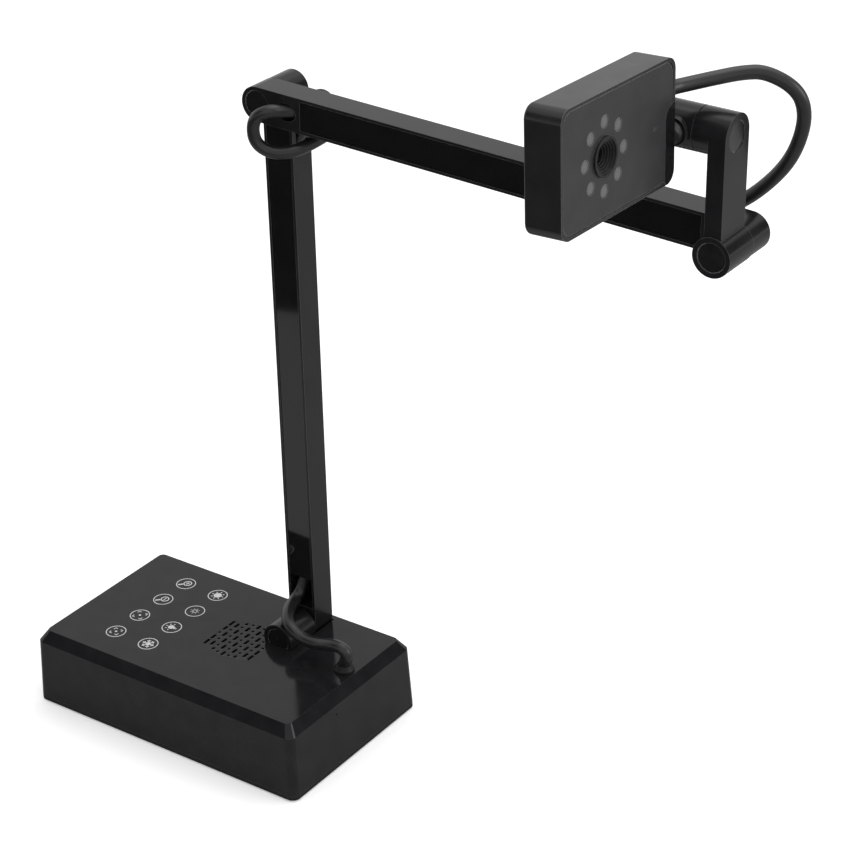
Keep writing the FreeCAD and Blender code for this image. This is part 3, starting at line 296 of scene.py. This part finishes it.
def washer_nylon():
    return moulded("washer_nylon", (0.010, 0.010, 0.010), (0.016, 0.016, 0.016), 0.35, 0.5,
                   0.3 * MM, 0.006 * MM, 0.4)


def board():
    """Green circuit board with copper tracks that show through its lacquer."""
    look = Look("board", Specular_IOR_Level=0.5)
    tracks = look.node("TexBrick", {"Vector": look.places(), "Scale": 1 / (9 * MM),
                                    "Mortar Size": 0.06, "Color1": (0.006, 0.05, 0.02, 1),
                                    "Color2": (0.008, 0.065, 0.028, 1),
                                    "Mortar": (0.03, 0.13, 0.05, 1)})
    look.colour(tracks.outputs["Color"])
    look.roughness(look.between(look.noise(6 * MM, 3.0), 0.25, 0.42))
    look.bump(tracks.outputs["Fac"], 0.03 * MM)
    return look.material


def rubber(name, dark, light, smooth, rough, grain, depth, uv=None, specular=0.5):
    """Matt rubber with a fine skin and faint dust."""
    look = Look(name, Specular_IOR_Level=specular)
    look.colour(look.tint(look.between(look.noise(9 * MM, 4.0, uv=uv), 0, 1), dark, light))
    look.roughness(look.between(look.noise(6 * MM, 4.0, uv=uv), smooth, rough))
    look.bump(look.cells(grain, uv=uv), depth)
    return look


def cable_rubber():
    """Thick satin cable jacket: extrusion lines along it and a faint ripple across it."""
    look = rubber("cable_rubber", (0.007, 0.007, 0.008), (0.012, 0.012, 0.013), 0.28, 0.38,
                  0.4 * MM, 0.006 * MM, uv="route")
    look.bump(look.noise(0.5 * MM, 2.0, (0.05, 1, 1), uv="route"), 0.008 * MM)
    look.bump(look.noise(3.2 * MM, 1.0, (1, 0.2, 1), uv="route"), 0.03 * MM, 0.6)
    return look.material


def boot_rubber():
    return rubber("boot_rubber", (0.004, 0.004, 0.004), (0.007, 0.007, 0.007), 0.40, 0.55,
                  0.35 * MM, 0.010 * MM, specular=0.25).material


def pad_rubber():
    """Anti-slip sheet with a pressed diamond pattern."""
    look = rubber("pad_rubber", (0.013, 0.013, 0.013), (0.022, 0.022, 0.022), 0.7, 0.85,
                  0.5 * MM, 0.02 * MM)
    look.bump(look.node("TexChecker", {"Vector": look.places(), "Scale": 1 / (2.5 * MM)}
                        ).outputs["Fac"], 0.15 * MM)
    return look.material


def key_ink():
    """Light grey silk-screen ink, slightly uneven where the mesh left it thin."""
    look = Look("key_ink", Specular_IOR_Level=0.4)
    look.colour(look.tint(look.between(look.noise(0.7 * MM, 3.0), 0, 1),
                          (0.50, 0.50, 0.51), (0.62, 0.62, 0.63)))
    look.roughness(look.between(look.noise(2 * MM, 3.0), 0.4, 0.55))
    look.bump(look.cells(0.25 * MM), 0.01 * MM)
    return look.material


def window_plastic():
    """Frosted lamp window: a lighter middle where the lamp sits behind it."""
    look = Look("window_plastic", Specular_IOR_Level=0.5, Coat_Weight=0.2, Coat_Roughness=0.2)
    reach = look.node("Attribute", attribute_name="from_middle").outputs["Fac"]
    look.colour(look.tint(look.between(reach, 0, 1, 0.1, 0.95), (0.110, 0.110, 0.107),
                          (0.085, 0.085, 0.086)))
    look.roughness(look.between(look.noise(1.5 * MM, 3.0), 0.28, 0.42))
    look.bump(look.cells(0.3 * MM), 0.012 * MM)
    return look.material


def barrel_plastic():
    """Black lens barrel with fine anti-glare threads inside its mouth."""
    look = Look("barrel_plastic", Specular_IOR_Level=0.35)
    look.colour(look.tint(look.noise(2 * MM, 3.0), (0.006, 0.006, 0.006), (0.010, 0.010, 0.010)))
    look.roughness(look.between(look.noise(3 * MM, 3.0), 0.30, 0.48))
    look.bump(look.bands(0.25 * MM, "X"), 0.03 * MM)
    return look.material


def lens_glass():
    """Front element with a faint violet anti-reflection coat."""
    look = Look("lens_glass", Transmission_Weight=1.0, IOR=1.52, Coat_Weight=0.5,
                Coat_Roughness=0.02, Coat_Tint=(0.72, 0.66, 0.95, 1))
    look.colour(look.tint(look.noise(3 * MM, 2.0), (0.80, 0.80, 0.86), (0.88, 0.86, 0.92)))
    look.roughness(look.between(look.noise(5 * MM, 3.0), 0.0, 0.03))
    look.bump(look.noise(4 * MM, 1.0), 0.0005 * MM)
    return look.material


LOOKS = {
    "base_plastic": (base_plastic, ("base_shell",)),
    "plate_steel": (plate_steel, ("base_plate",)),
    "fastener": (fastener, ("base_screws", "bracket_screws", "foot_bolt", "foot_nut", "elbow_bolt",
                            "elbow_nut", "wrist_bolt", "wrist_nut", "neck_bolt", "tilt_shaft")),
    "pad_rubber": (pad_rubber, ("rubber_pad",)),
    "weight_iron": (weight_iron, ("counterweight",)),
    "board": (board, ("main_board", "touch_board", "led_board", "sensor_board")),
    "port_steel": (port_steel, ("usb_port",)),
    "speaker_can": (speaker_can, ("speaker", "microphone")),
    "boot_rubber": (boot_rubber, ("cable_boot", "head_gland")),
    "cover_gloss": (cover_gloss, ("mast_cover", "boom_cover", "hinge_cover")),
    "cap_paint": (cap_paint, ("foot_cap", "foot_rear_cap", "elbow_cap", "elbow_rear_cap",
                              "wrist_cap", "wrist_rear_cap", "neck_cap")),
    "washer_nylon": (washer_nylon, ("foot_washer", "elbow_washer", "wrist_washer",
                                    "neck_washer")),
    "head_plastic": (head_plastic, ("head_housing",)),
    "panel_plastic": (panel_plastic, ("head_panel",)),
    "barrel_plastic": (barrel_plastic, ("lens_barrel",)),
    "lens_glass": (lens_glass, ("lens_glass",)),
}
ARMS = {"Z": ("mast_channel", "forearm", "hinge_bracket"), "X": ("boom_channel", "knuckle")}


def dress(obj, material):
    """Puts one material all over a piece."""
    obj.data.materials.clear()
    obj.data.materials.append(material)


def dress_nodes():
    """Gives every CAD piece its material."""
    for make, names in LOOKS.values():
        material = make()
        for name in names:
            dress(NODES[name], material)
    for axis, names in ARMS.items():
        material = arm_alloy(axis)
        for name in names:
            dress(NODES[name], material)


# ---------------------------------------------------------------- softened edges of the CAD pieces
SAME_POINT = 0.002 * MM
SHARP_TURN = 32    # degrees
SOFT_EDGES = {
    "base_shell": 0.35, "mast_channel": 0.3, "boom_channel": 0.3, "forearm": 0.35, "knuckle": 0.35,
    "hinge_bracket": 0.4, "head_housing": 0.3, "head_panel": 0.25, "hinge_cover": 0.25,
    "mast_cover": 0.12, "boom_cover": 0.12, "foot_cap": 0.35, "elbow_cap": 0.35,
    "wrist_cap": 0.35, "neck_cap": 0.35, "lens_barrel": 0.12,
}


def soften(node, width):
    """Real small radii along the sharp edges, as moulding and tumbling leave them."""
    weld = node.modifiers.new("weld", "WELD")
    weld.merge_threshold = SAME_POINT
    bevel = node.modifiers.new("edge_radius", "BEVEL")
    bevel.width = width
    bevel.segments = 2
    bevel.limit_method = "ANGLE"
    bevel.angle_limit = math.radians(SHARP_TURN)
    normals = node.modifiers.new("even_shading", "WEIGHTED_NORMAL")
    normals.weight = 90


def soften_nodes():
    for name, width in SOFT_EDGES.items():
        soften(NODES[name], width * MM)


# ---------------------------------------------------------------- mesh helpers
def mesh_piece(name, build):
    """Turns a bmesh into an object with outward normals and smooth shading."""
    bmesh.ops.recalc_face_normals(build, faces=build.faces)
    mesh = bpy.data.meshes.new(name)
    build.to_mesh(mesh)
    build.free()
    mesh.shade_smooth()
    piece = bpy.data.objects.new(name, mesh)
    bpy.context.scene.collection.objects.link(piece)
    return piece


# ---------------------------------------------------------------- cables
BASE_CABLE = [
    (78.8, 8.4, 38.5), (78.8, 8.4, 46), (80, 8, 51), (82, 7.6, 54.8), (81.1, 7.2, 58.2),
    (77.3, 7, 60), (71, 7, 59), (62.4, 7.3, 56.2), (54.2, 7.2, 55.9), (47.2, 7, 58),
    (41, 9, 61), (36.6, 13.8, 62.2), (33.1, 20, 62.6), (31.2, 27, 62.8), (31, 32.6, 65.4),
    (32.6, 35.4, 73), (34.2, 37, 81), (34.5, 37, 89.2)]
ELBOW_CABLE = [
    (37.5, 37.2, 311), (38.4, 37.2, 322), (42.6, 37.4, 332), (48.9, 38, 340),
    (52.6, 38.8, 350), (55.8, 39.6, 358), (61.8, 39.8, 358.2), (66.8, 38.2, 351),
    (67.4, 33.6, 342), (64, 24, 339.2), (59, 15, 336.4), (50.5, 8.5, 336.2),
    (43.6, 5, 341.4), (43, 4.2, 350), (46, 4.4, 356.4), (52.4, 6.6, 359.6),
    (55.6, 14, 357.4), (61, 20.4, 356.4), (71, 23.4, 356.2), (81, 23, 355.6)]
HEAD_CABLE_LOW = [
    (262, 21.6, 346.8), (271, 24.6, 346.4), (281, 32.5, 346.4), (291, 37.4, 350.4),
    (302.8, 37.8, 359.4), (309.2, 37.6, 366.4)]
HEAD_CABLE_MIDDLE = [
    (309.2, 37.6, 366.4), (315.6, 37.4, 373.4), (322.4, 36.8, 386.4), (326, 35, 401.4),
    (323.2, 31.5, 413), (317.4, 28.2, 416.8)]
HEAD_CABLE_HIGH = [
    (317.4, 28.2, 416.8), (311.6, 24.9, 420.6), (304, 18, 421), (297, 9, 420.3),
    (290.2, -1, 419.6), (284.9, -11, 419.45), (284.9, -21.5, 419.8)]
THIN, THICK = 6.4 * MM, 6.8 * MM
AROUND = 28


def in_metres(route):
    return [Vector(point) * MM for point in route]


def followed(name, route):
    """Points along the smooth NURBS line whose control points are the route's."""
    data = bpy.data.curves.new(name, "CURVE")
    data.dimensions = "3D"
    data.resolution_u = 10
    spline = data.splines.new("NURBS")
    spline.points.add(len(route) - 1)
    for point, place in zip(spline.points, route):
        point.co = (*place, 1)
    spline.order_u = 3
    spline.use_endpoint_u = True
    line = bpy.data.objects.new(name, data)
    points = [vertex.co.copy() for vertex in bpy.data.meshes.new_from_object(line).vertices]
    bpy.data.objects.remove(line)
    return points


def directions(points):
    """Unit tangents at the points of a line."""
    ahead = points[1:] + points[-1:]
    behind = points[:1] + points[:-1]
    return [(after - before).normalized() for before, after in zip(behind, ahead)]


def tube(name, points, radius):
    """Closed round tube with a UV map in metres, along it and around it."""
    build = bmesh.new()
    tangents = directions(points)
    side = tangents[0].orthogonal().normalized()
    rings = []
    travelled = [0.0]
    for index, (point, tangent) in enumerate(zip(points, tangents)):
        if index:
            side = tangents[index - 1].rotation_difference(tangent) @ side
            travelled.append(travelled[-1] + (point - points[index - 1]).length)
        over = tangent.cross(side)
        angles = [2 * math.pi * step / AROUND for step in range(AROUND)]
        rings.append([build.verts.new(point + radius * (side * math.cos(a) + over * math.sin(a)))
                      for a in angles])
    map_layer = build.loops.layers.uv.new("route")
    for row, (near, far) in enumerate(zip(rings, rings[1:])):
        for step in range(AROUND):
            after = (step + 1) % AROUND
            face = build.faces.new((near[step], near[after], far[after], far[step]))
            along = (travelled[row], travelled[row], travelled[row + 1], travelled[row + 1])
            across = (step, step + 1, step + 1, step)
            for loop, u, v in zip(face.loops, along, across):
                loop[map_layer].uv = (u, v * 2 * math.pi * radius / AROUND)
    for ring in (rings[0], rings[-1]):
        for edge in build.faces.new(ring).edges:
            edge.smooth = False
    return mesh_piece(name, build)


def add_cable(node, route, diameter, material, near_body, far_body, start, end):
    """One cable that bends between the two bodies that a joint connects."""
    points = followed(node, in_metres(route))
    piece = tube(f"{node}_jacket", points, diameter / 2)
    dress(piece, material)
    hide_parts(node)
    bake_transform(piece, near_body, far_body, Vector(start) * MM, Vector(end) * MM)


def add_cables():
    """The five stretches of cable that show, each blended across its joint."""
    material = cable_rubber()
    add_cable("base_cable", BASE_CABLE, THICK, material, "base", "mast",
              (50, 7, 57), (31, 34, 68))
    add_cable("elbow_cable", ELBOW_CABLE, THIN, material, "mast", "boom",
              (40, 37, 327), (66, 20, 356))
    add_cable("head_cable_low", HEAD_CABLE_LOW, THIN, material, "boom", "forearm",
              (272, 25, 346), (306, 37.6, 363))
    add_cable("head_cable_middle", HEAD_CABLE_MIDDLE, THIN, material, "forearm", "knuckle",
              (312, 37, 369), (318, 28.8, 415))
    add_cable("head_cable_high", HEAD_CABLE_HIGH, THIN, material, "knuckle", "head",
              (316, 27.5, 418), (286, -12, 420))


# ---------------------------------------------------------------- touch key marks
KEY_COLUMNS = (-51.4, -27.9)
KEY_LINES = (30.4, 10.4, -9.6, -29.6)
KEY_RADIUS = 5.7
INK_LINE = 0.5
INK_LOW, INK_HIGH = 44.95, 45.13


def prism(build, outline):
    """Closed flat solid of ink over an outline in the base's top."""
    low = [build.verts.new((x * MM, y * MM, INK_LOW * MM)) for x, y in outline]
    high = [build.verts.new((x * MM, y * MM, INK_HIGH * MM)) for x, y in outline]
    build.faces.new(low[::-1])
    build.faces.new(high)
    for index in range(len(outline)):
        after = (index + 1) % len(outline)
        build.faces.new((low[index], low[after], high[after], high[index]))


def arc_points(centre, radius, start, end, steps):
    """Points on an arc; the angles are in degrees."""
    angles = [math.radians(start + (end - start) * step / steps) for step in range(steps + 1)]
    return [(centre[0] + radius * math.cos(angle), centre[1] + radius * math.sin(angle))
            for angle in angles]


def ink_disc(build, centre, radius):
    prism(build, arc_points(centre, radius, 0, 350, 35))


def ink_ring(build, centre, radius, line=INK_LINE, steps=72):
    """Closed ring of ink of square section."""
    loops = []
    for reach, up in ((radius, INK_LOW), (radius, INK_HIGH), (radius - line, INK_HIGH),
                      (radius - line, INK_LOW)):
        places = arc_points(centre, reach, 0, 360 - 360 / steps, steps - 1)
        loops.append([build.verts.new((x * MM, y * MM, up * MM)) for x, y in places])
    for first, second in zip(loops, loops[1:] + loops[:1]):
        for step in range(steps):
            after = (step + 1) % steps
            build.faces.new((first[step], first[after], second[after], second[step]))


def ink_stroke(build, start, end, width):
    """Round-ended stroke from start to end."""
    turn = math.degrees(math.atan2(end[1] - start[1], end[0] - start[0]))
    outline = arc_points(end, width / 2, turn - 90, turn + 90, 8)
    outline += arc_points(start, width / 2, turn + 90, turn + 270, 8)
    prism(build, outline)


def offset(centre, across, along):
    return centre[0] + across, centre[1] + along


def draw_magnifier(build, centre, plus):
    """Magnifying glass with a plus or a minus in its lens."""
    lens = offset(centre, 0.7, 0.7)
    ink_ring(build, lens, 2.5, 0.6, 48)
    ink_stroke(build, offset(lens, -1.95, -1.95), offset(lens, -3.6, -3.6), 1.1)
    ink_stroke(build, offset(lens, 0, -1.1), offset(lens, 0, 1.1), 0.55)
    if plus:
        ink_stroke(build, offset(lens, -1.1, 0), offset(lens, -0.33, 0), 0.55)
        ink_stroke(build, offset(lens, 0.33, 0), offset(lens, 1.1, 0), 0.55)


def draw_focus(build, centre, reach):
    """Four corner brackets round a small middle mark."""
    for across in (-1, 1):
        for along in (-1, 1):
            corner = offset(centre, across * reach, along * reach)
            ink_stroke(build, corner, offset(corner, -across * 1.3, 0), 0.5)
            ink_stroke(build, offset(corner, 0, -along * 0.5), offset(corner, 0, -along * 1.3), 0.5)
    ink_disc(build, centre, 0.7)


def draw_rays(build, centre, inner, outer, count, width, start=0.0, sweep=360.0):
    """Short strokes that point away from a centre."""
    for index in range(count):
        turn = math.radians(start + sweep * index / count)
        ray = (math.cos(turn), math.sin(turn))
        ink_stroke(build, offset(centre, ray[0] * inner, ray[1] * inner),
                   offset(centre, ray[0] * outer, ray[1] * outer), width)


def draw_bright(build, centre):
    ink_disc(build, centre, 2.3)
    draw_rays(build, centre, 3.0, 3.6, 8, 0.6)


def draw_dim(build, centre):
    ink_ring(build, centre, 1.5, 0.45, 36)
    draw_rays(build, centre, 2.15, 2.6, 8, 0.35)


def draw_lamp(build, centre):
    """Light bulb with its foot towards +X and rays round its crown."""
    ink_disc(build, offset(centre, -0.4, 0), 1.8)
    ink_stroke(build, offset(centre, 1.8, -0.5), offset(centre, 1.8, 0.5), 0.9)
    ink_stroke(build, offset(centre, 2.9, -0.35), offset(centre, 2.9, 0.35), 0.5)
    draw_rays(build, offset(centre, -0.4, 0), 2.6, 3.3, 5, 0.5, 90.0, 225.0)


def draw_freeze(build, centre):
    """Six-armed frost mark with a short fork on each thick arm."""
    ink_disc(build, centre, 1.5)
    for index in range(6):
        turn = math.radians(60 * index)
        arm = (math.cos(turn), math.sin(turn))
        knee = offset(centre, arm[0] * 2.3, arm[1] * 2.3)
        ink_stroke(build, offset(centre, arm[0] * 1.7, arm[1] * 1.7),
                   offset(centre, arm[0] * 3.4, arm[1] * 3.4), 0.8)
        for fork in (-60, 60):
            lean = turn + math.radians(fork)
            tip = (math.cos(lean), math.sin(lean))
            ink_stroke(build, offset(knee, tip[0] * 0.75, tip[1] * 0.75),
                       offset(knee, tip[0] * 1.1, tip[1] * 1.1), 0.5)


def add_touch_marks():
    """A thin ring round each key and its sign."""
    build = bmesh.new()
    for across in KEY_COLUMNS:
        for along in KEY_LINES:
            ink_ring(build, (across, along), KEY_RADIUS)
    near, far = KEY_COLUMNS
    draw_magnifier(build, (near, KEY_LINES[0]), True)
    draw_magnifier(build, (near, KEY_LINES[1]), False)
    draw_focus(build, (near, KEY_LINES[2]), 3.0)
    draw_focus(build, (near, KEY_LINES[3]), 2.6)
    draw_bright(build, (far, KEY_LINES[0]))
    draw_dim(build, (far, KEY_LINES[1]))
    draw_lamp(build, (far, KEY_LINES[2]))
    draw_freeze(build, (far, KEY_LINES[3]))
    piece = mesh_piece("touch_marks", build)
    piece.data.shade_flat()
    dress(piece, key_ink())
    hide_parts("touch_icons")
    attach(piece, "base")


# ---------------------------------------------------------------- lamp windows
def islands(node):
    """Middle of each separate solid of a CAD node."""
    build = bmesh.new()
    build.from_mesh(NODES[node].data)
    bmesh.ops.remove_doubles(build, verts=build.verts, dist=SAME_POINT)
    groups = []
    seen = set()
    for first in build.verts:
        if first in seen:
            continue
        waiting = [first]
        seen.add(first)
        places = []
        while waiting:
            vertex = waiting.pop()
            places.append(vertex.co.copy())
            for edge in vertex.link_edges:
                other = edge.other_vert(vertex)
                if other not in seen:
                    seen.add(other)
                    waiting.append(other)
        groups.append(places)
    build.free()
    return [sum(places, Vector()) / len(places) for places in groups]


def head_axes():
    """Unit vectors of the head: out of its front, towards its hinge, and up."""
    windows = islands("led_windows")
    middle = sum(windows, Vector()) / len(windows)
    spread = [place - middle for place in windows]
    front = spread[0].cross(spread[2]).normalized()
    if front.x < 0:
        front = -front
    along = Vector((0, 1, 0))
    along = (along - front * along.dot(front)).normalized()
    return front, along, front.cross(along)


def lathe(build, profile, centre, axis, side, steps=40, reach=None):
    """Solid turned about an axis; the profile runs from (radius, height) to (radius, height)."""
    over = axis.cross(side)
    layers = build.verts.layers.float
    layer = layers.get("from_middle") or layers.new("from_middle")
    loops = []
    for radius, height in profile:
        loop = []
        for step in range(steps if radius > 0 else 1):
            turn = 2 * math.pi * step / steps
            away = side * math.cos(turn) + over * math.sin(turn)
            vertex = build.verts.new(centre + axis * height + away * radius)
            vertex[layer] = radius / reach if reach else 0.0
            loop.append(vertex)
        loops.append(loop)
    for first, second in zip(loops, loops[1:]):
        for step in range(steps):
            after = (step + 1) % steps
            corners = [first[step % len(first)], first[after % len(first)],
                       second[after % len(second)], second[step % len(second)]]
            unique = list(dict.fromkeys(corners))
            if len(unique) > 2:
                build.faces.new(unique)


WINDOW_RADIUS = 2.75
WINDOW_RIBS = 5


def window_profile():
    """Shallow dish with fine circular ribs, from its back's middle to its front's middle."""
    profile = [(0.0, -1.0), (WINDOW_RADIUS, -1.0), (WINDOW_RADIUS, 0.55),
               (WINDOW_RADIUS - 0.15, 0.7)]
    width = (WINDOW_RADIUS - 0.5) / WINDOW_RIBS
    for rib in range(WINDOW_RIBS):
        outer = WINDOW_RADIUS - 0.3 - rib * width
        profile += [(outer, 0.55), (outer - 0.6 * width, 0.63)]
    profile.append((0.0, 0.6))
    return [(radius * MM, height * MM) for radius, height in profile]


def add_lamp_windows():
    """Eight frosted windows in the head's front."""
    front, along, _ = head_axes()
    build = bmesh.new()
    for middle in islands("led_windows"):
        lathe(build, window_profile(), middle, front, along, reach=WINDOW_RADIUS * MM)
    piece = mesh_piece("lamp_windows", build)
    dress(piece, window_plastic())
    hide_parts("led_windows")
    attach(piece, "head")


# ---------------------------------------------------------------- tilt ring
RIDGES = 36
RIDGE_DEEP = 0.22
RING_PROFILE = [    # radius, distance from the collar's end, 1 where ridged
    (3.6, 0.0, 0), (5.0, 0.0, 0), (5.3, 0.25, 1), (5.3, 2.0, 1), (4.5, 2.6, 0), (4.5, 5.0, 0),
    (4.9, 5.4, 1), (5.2, 5.7, 1)]


def add_tilt_ring():
    """Friction ring with fine ridges across its two collars."""
    low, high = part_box("tilt_ring")
    centre = (low + high) / 2
    start, end = low.y + 0.02 * MM, high.y - 0.02 * MM
    length = (end - start) / MM
    profile = RING_PROFILE + [(5.2, length - 0.3, 1), (4.9, length, 0), (3.6, length, 0)]
    build = bmesh.new()
    loops = []
    steps = RIDGES * 4
    for radius, run, ridged in profile:
        loop = []
        for step in range(steps):
            turn = 2 * math.pi * step / steps
            reach = radius - (RIDGE_DEEP * ridged if step % 4 in (0, 1) else 0.0)
            loop.append(build.verts.new((centre.x + reach * MM * math.cos(turn), end - run * MM,
                                         centre.z + reach * MM * math.sin(turn))))
        loops.append(loop)
    for first, second in zip(loops, loops[1:] + loops[:1]):
        for step in range(steps):
            after = (step + 1) % steps
            build.faces.new((first[step], first[after], second[after], second[step]))
    piece = mesh_piece("tilt_ring_ridged", build)
    dress(piece, ring_plastic())
    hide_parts("tilt_ring")
    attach(piece, "head")


# ---------------------------------------------------------------- floor and light
FLOOR_HALF = 40.0
FLOOR_GLOW = 0.28
WORLD_LIGHT = 0.85


def floor_look():
    look = Look("floor", Specular_IOR_Level=0.2, Emission_Color=(1, 1, 1, 1),
                Emission_Strength=FLOOR_GLOW)
    look.colour(look.tint(look.noise(0.4, 2.0), (0.90, 0.90, 0.90), (0.92, 0.92, 0.92)))
    look.roughness(look.between(look.noise(0.2, 2.0), 0.6, 0.7))
    return look.material


def add_floor():
    build = bmesh.new()
    bmesh.ops.create_grid(build, x_segments=1, y_segments=1, size=FLOOR_HALF)
    floor = mesh_piece("floor", build)
    dress(floor, floor_look())


# outlines in metres on the floor, tones from dark to light, and flags as place and half size
BLACK_CARD = ((-3.0, -0.36), (-0.30, -0.36), (0.9, -0.9), (0.9, -3.5), (-3.0, -3.5))
GREY_CARD = ((-3.0, -3.0), (3.0, -3.0), (3.0, 3.0), (-3.0, 3.0))
BLACK = ((0.004, 0.004, 0.004), (0.006, 0.006, 0.006))
GREY = ((0.38, 0.38, 0.38), (0.42, 0.42, 0.42))
FLAGS = (("front_flag", (-1.12, -1.50, 1.15), 0.70), ("rear_flag", (1.40, 1.55, 0.78), 0.50))
FLAG_TARGET = Vector((0.03, 0.0, 0.04))
GREY_HEIGHT, BLACK_HEIGHT = 0.4 * MM, 0.8 * MM


def add_light(name, place, target, size, power):
    """Square soft box at place that faces target."""
    light = bpy.data.objects.new(name, bpy.data.lights.new(name, "AREA"))
    light.data.size = size
    light.data.energy = power
    light.location = place
    aim = (Vector(target) - Vector(place)).to_track_quat("-Z", "Y")
    light.rotation_euler = aim.to_euler()
    bpy.context.scene.collection.objects.link(light)


def add_card(name, corners, tones):
    """Flat card that darkens reflections and nothing else."""
    build = bmesh.new()
    build.faces.new([build.verts.new(corner) for corner in corners])
    card = mesh_piece(name, build)
    look = Look(name, Specular_IOR_Level=0.0)
    look.colour(look.tint(look.noise(0.3, 2.0), *tones))
    look.roughness(look.between(look.noise(0.2, 2.0), 0.8, 0.9))
    dress(card, look.material)
    card.visible_camera = False
    card.visible_diffuse = False
    card.visible_shadow = False


def flag_corners(place, half):
    """Corners of a square flag at place that faces the object."""
    middle = Vector(place)
    away = (middle - FLAG_TARGET).normalized()
    level = away.cross(Vector((0, 0, 1))).normalized() * half
    rise = level.cross(away).normalized() * half
    return [middle + level + rise, middle - level + rise, middle - level - rise,
            middle + level - rise]


def add_cards():
    """Grey paper all round, black beyond its front edge, and two black flags overhead."""
    add_card("grey_card", [(x, y, GREY_HEIGHT) for x, y in GREY_CARD], GREY)
    add_card("black_card", [(x, y, BLACK_HEIGHT) for x, y in BLACK_CARD], BLACK)
    for name, place, half in FLAGS:
        add_card(name, flag_corners(place, half), BLACK)


def add_lights():
    """White studio with a soft box overhead and one at the right."""
    world = bpy.data.worlds.new("studio")
    world.use_nodes = True
    world.node_tree.nodes["Background"].inputs["Color"].default_value = (1, 1, 1, 1)
    world.node_tree.nodes["Background"].inputs["Strength"].default_value = WORLD_LIGHT
    bpy.context.scene.world = world
    add_light("overhead", (0.3, 0.4, 1.8), (0.1, 0.0, 0.2), 1.4, 9)
    add_light("right", (1.9, 0.7, 0.9), (0.2, 0.0, 0.3), 1.0, 9)


add_camera()
add_cables()
dress_nodes()
soften_nodes()
add_touch_marks()
add_lamp_windows()
add_tilt_ring()
add_floor()
add_cards()
add_lights()
bpy.context.scene.view_settings.view_transform = "Standard"
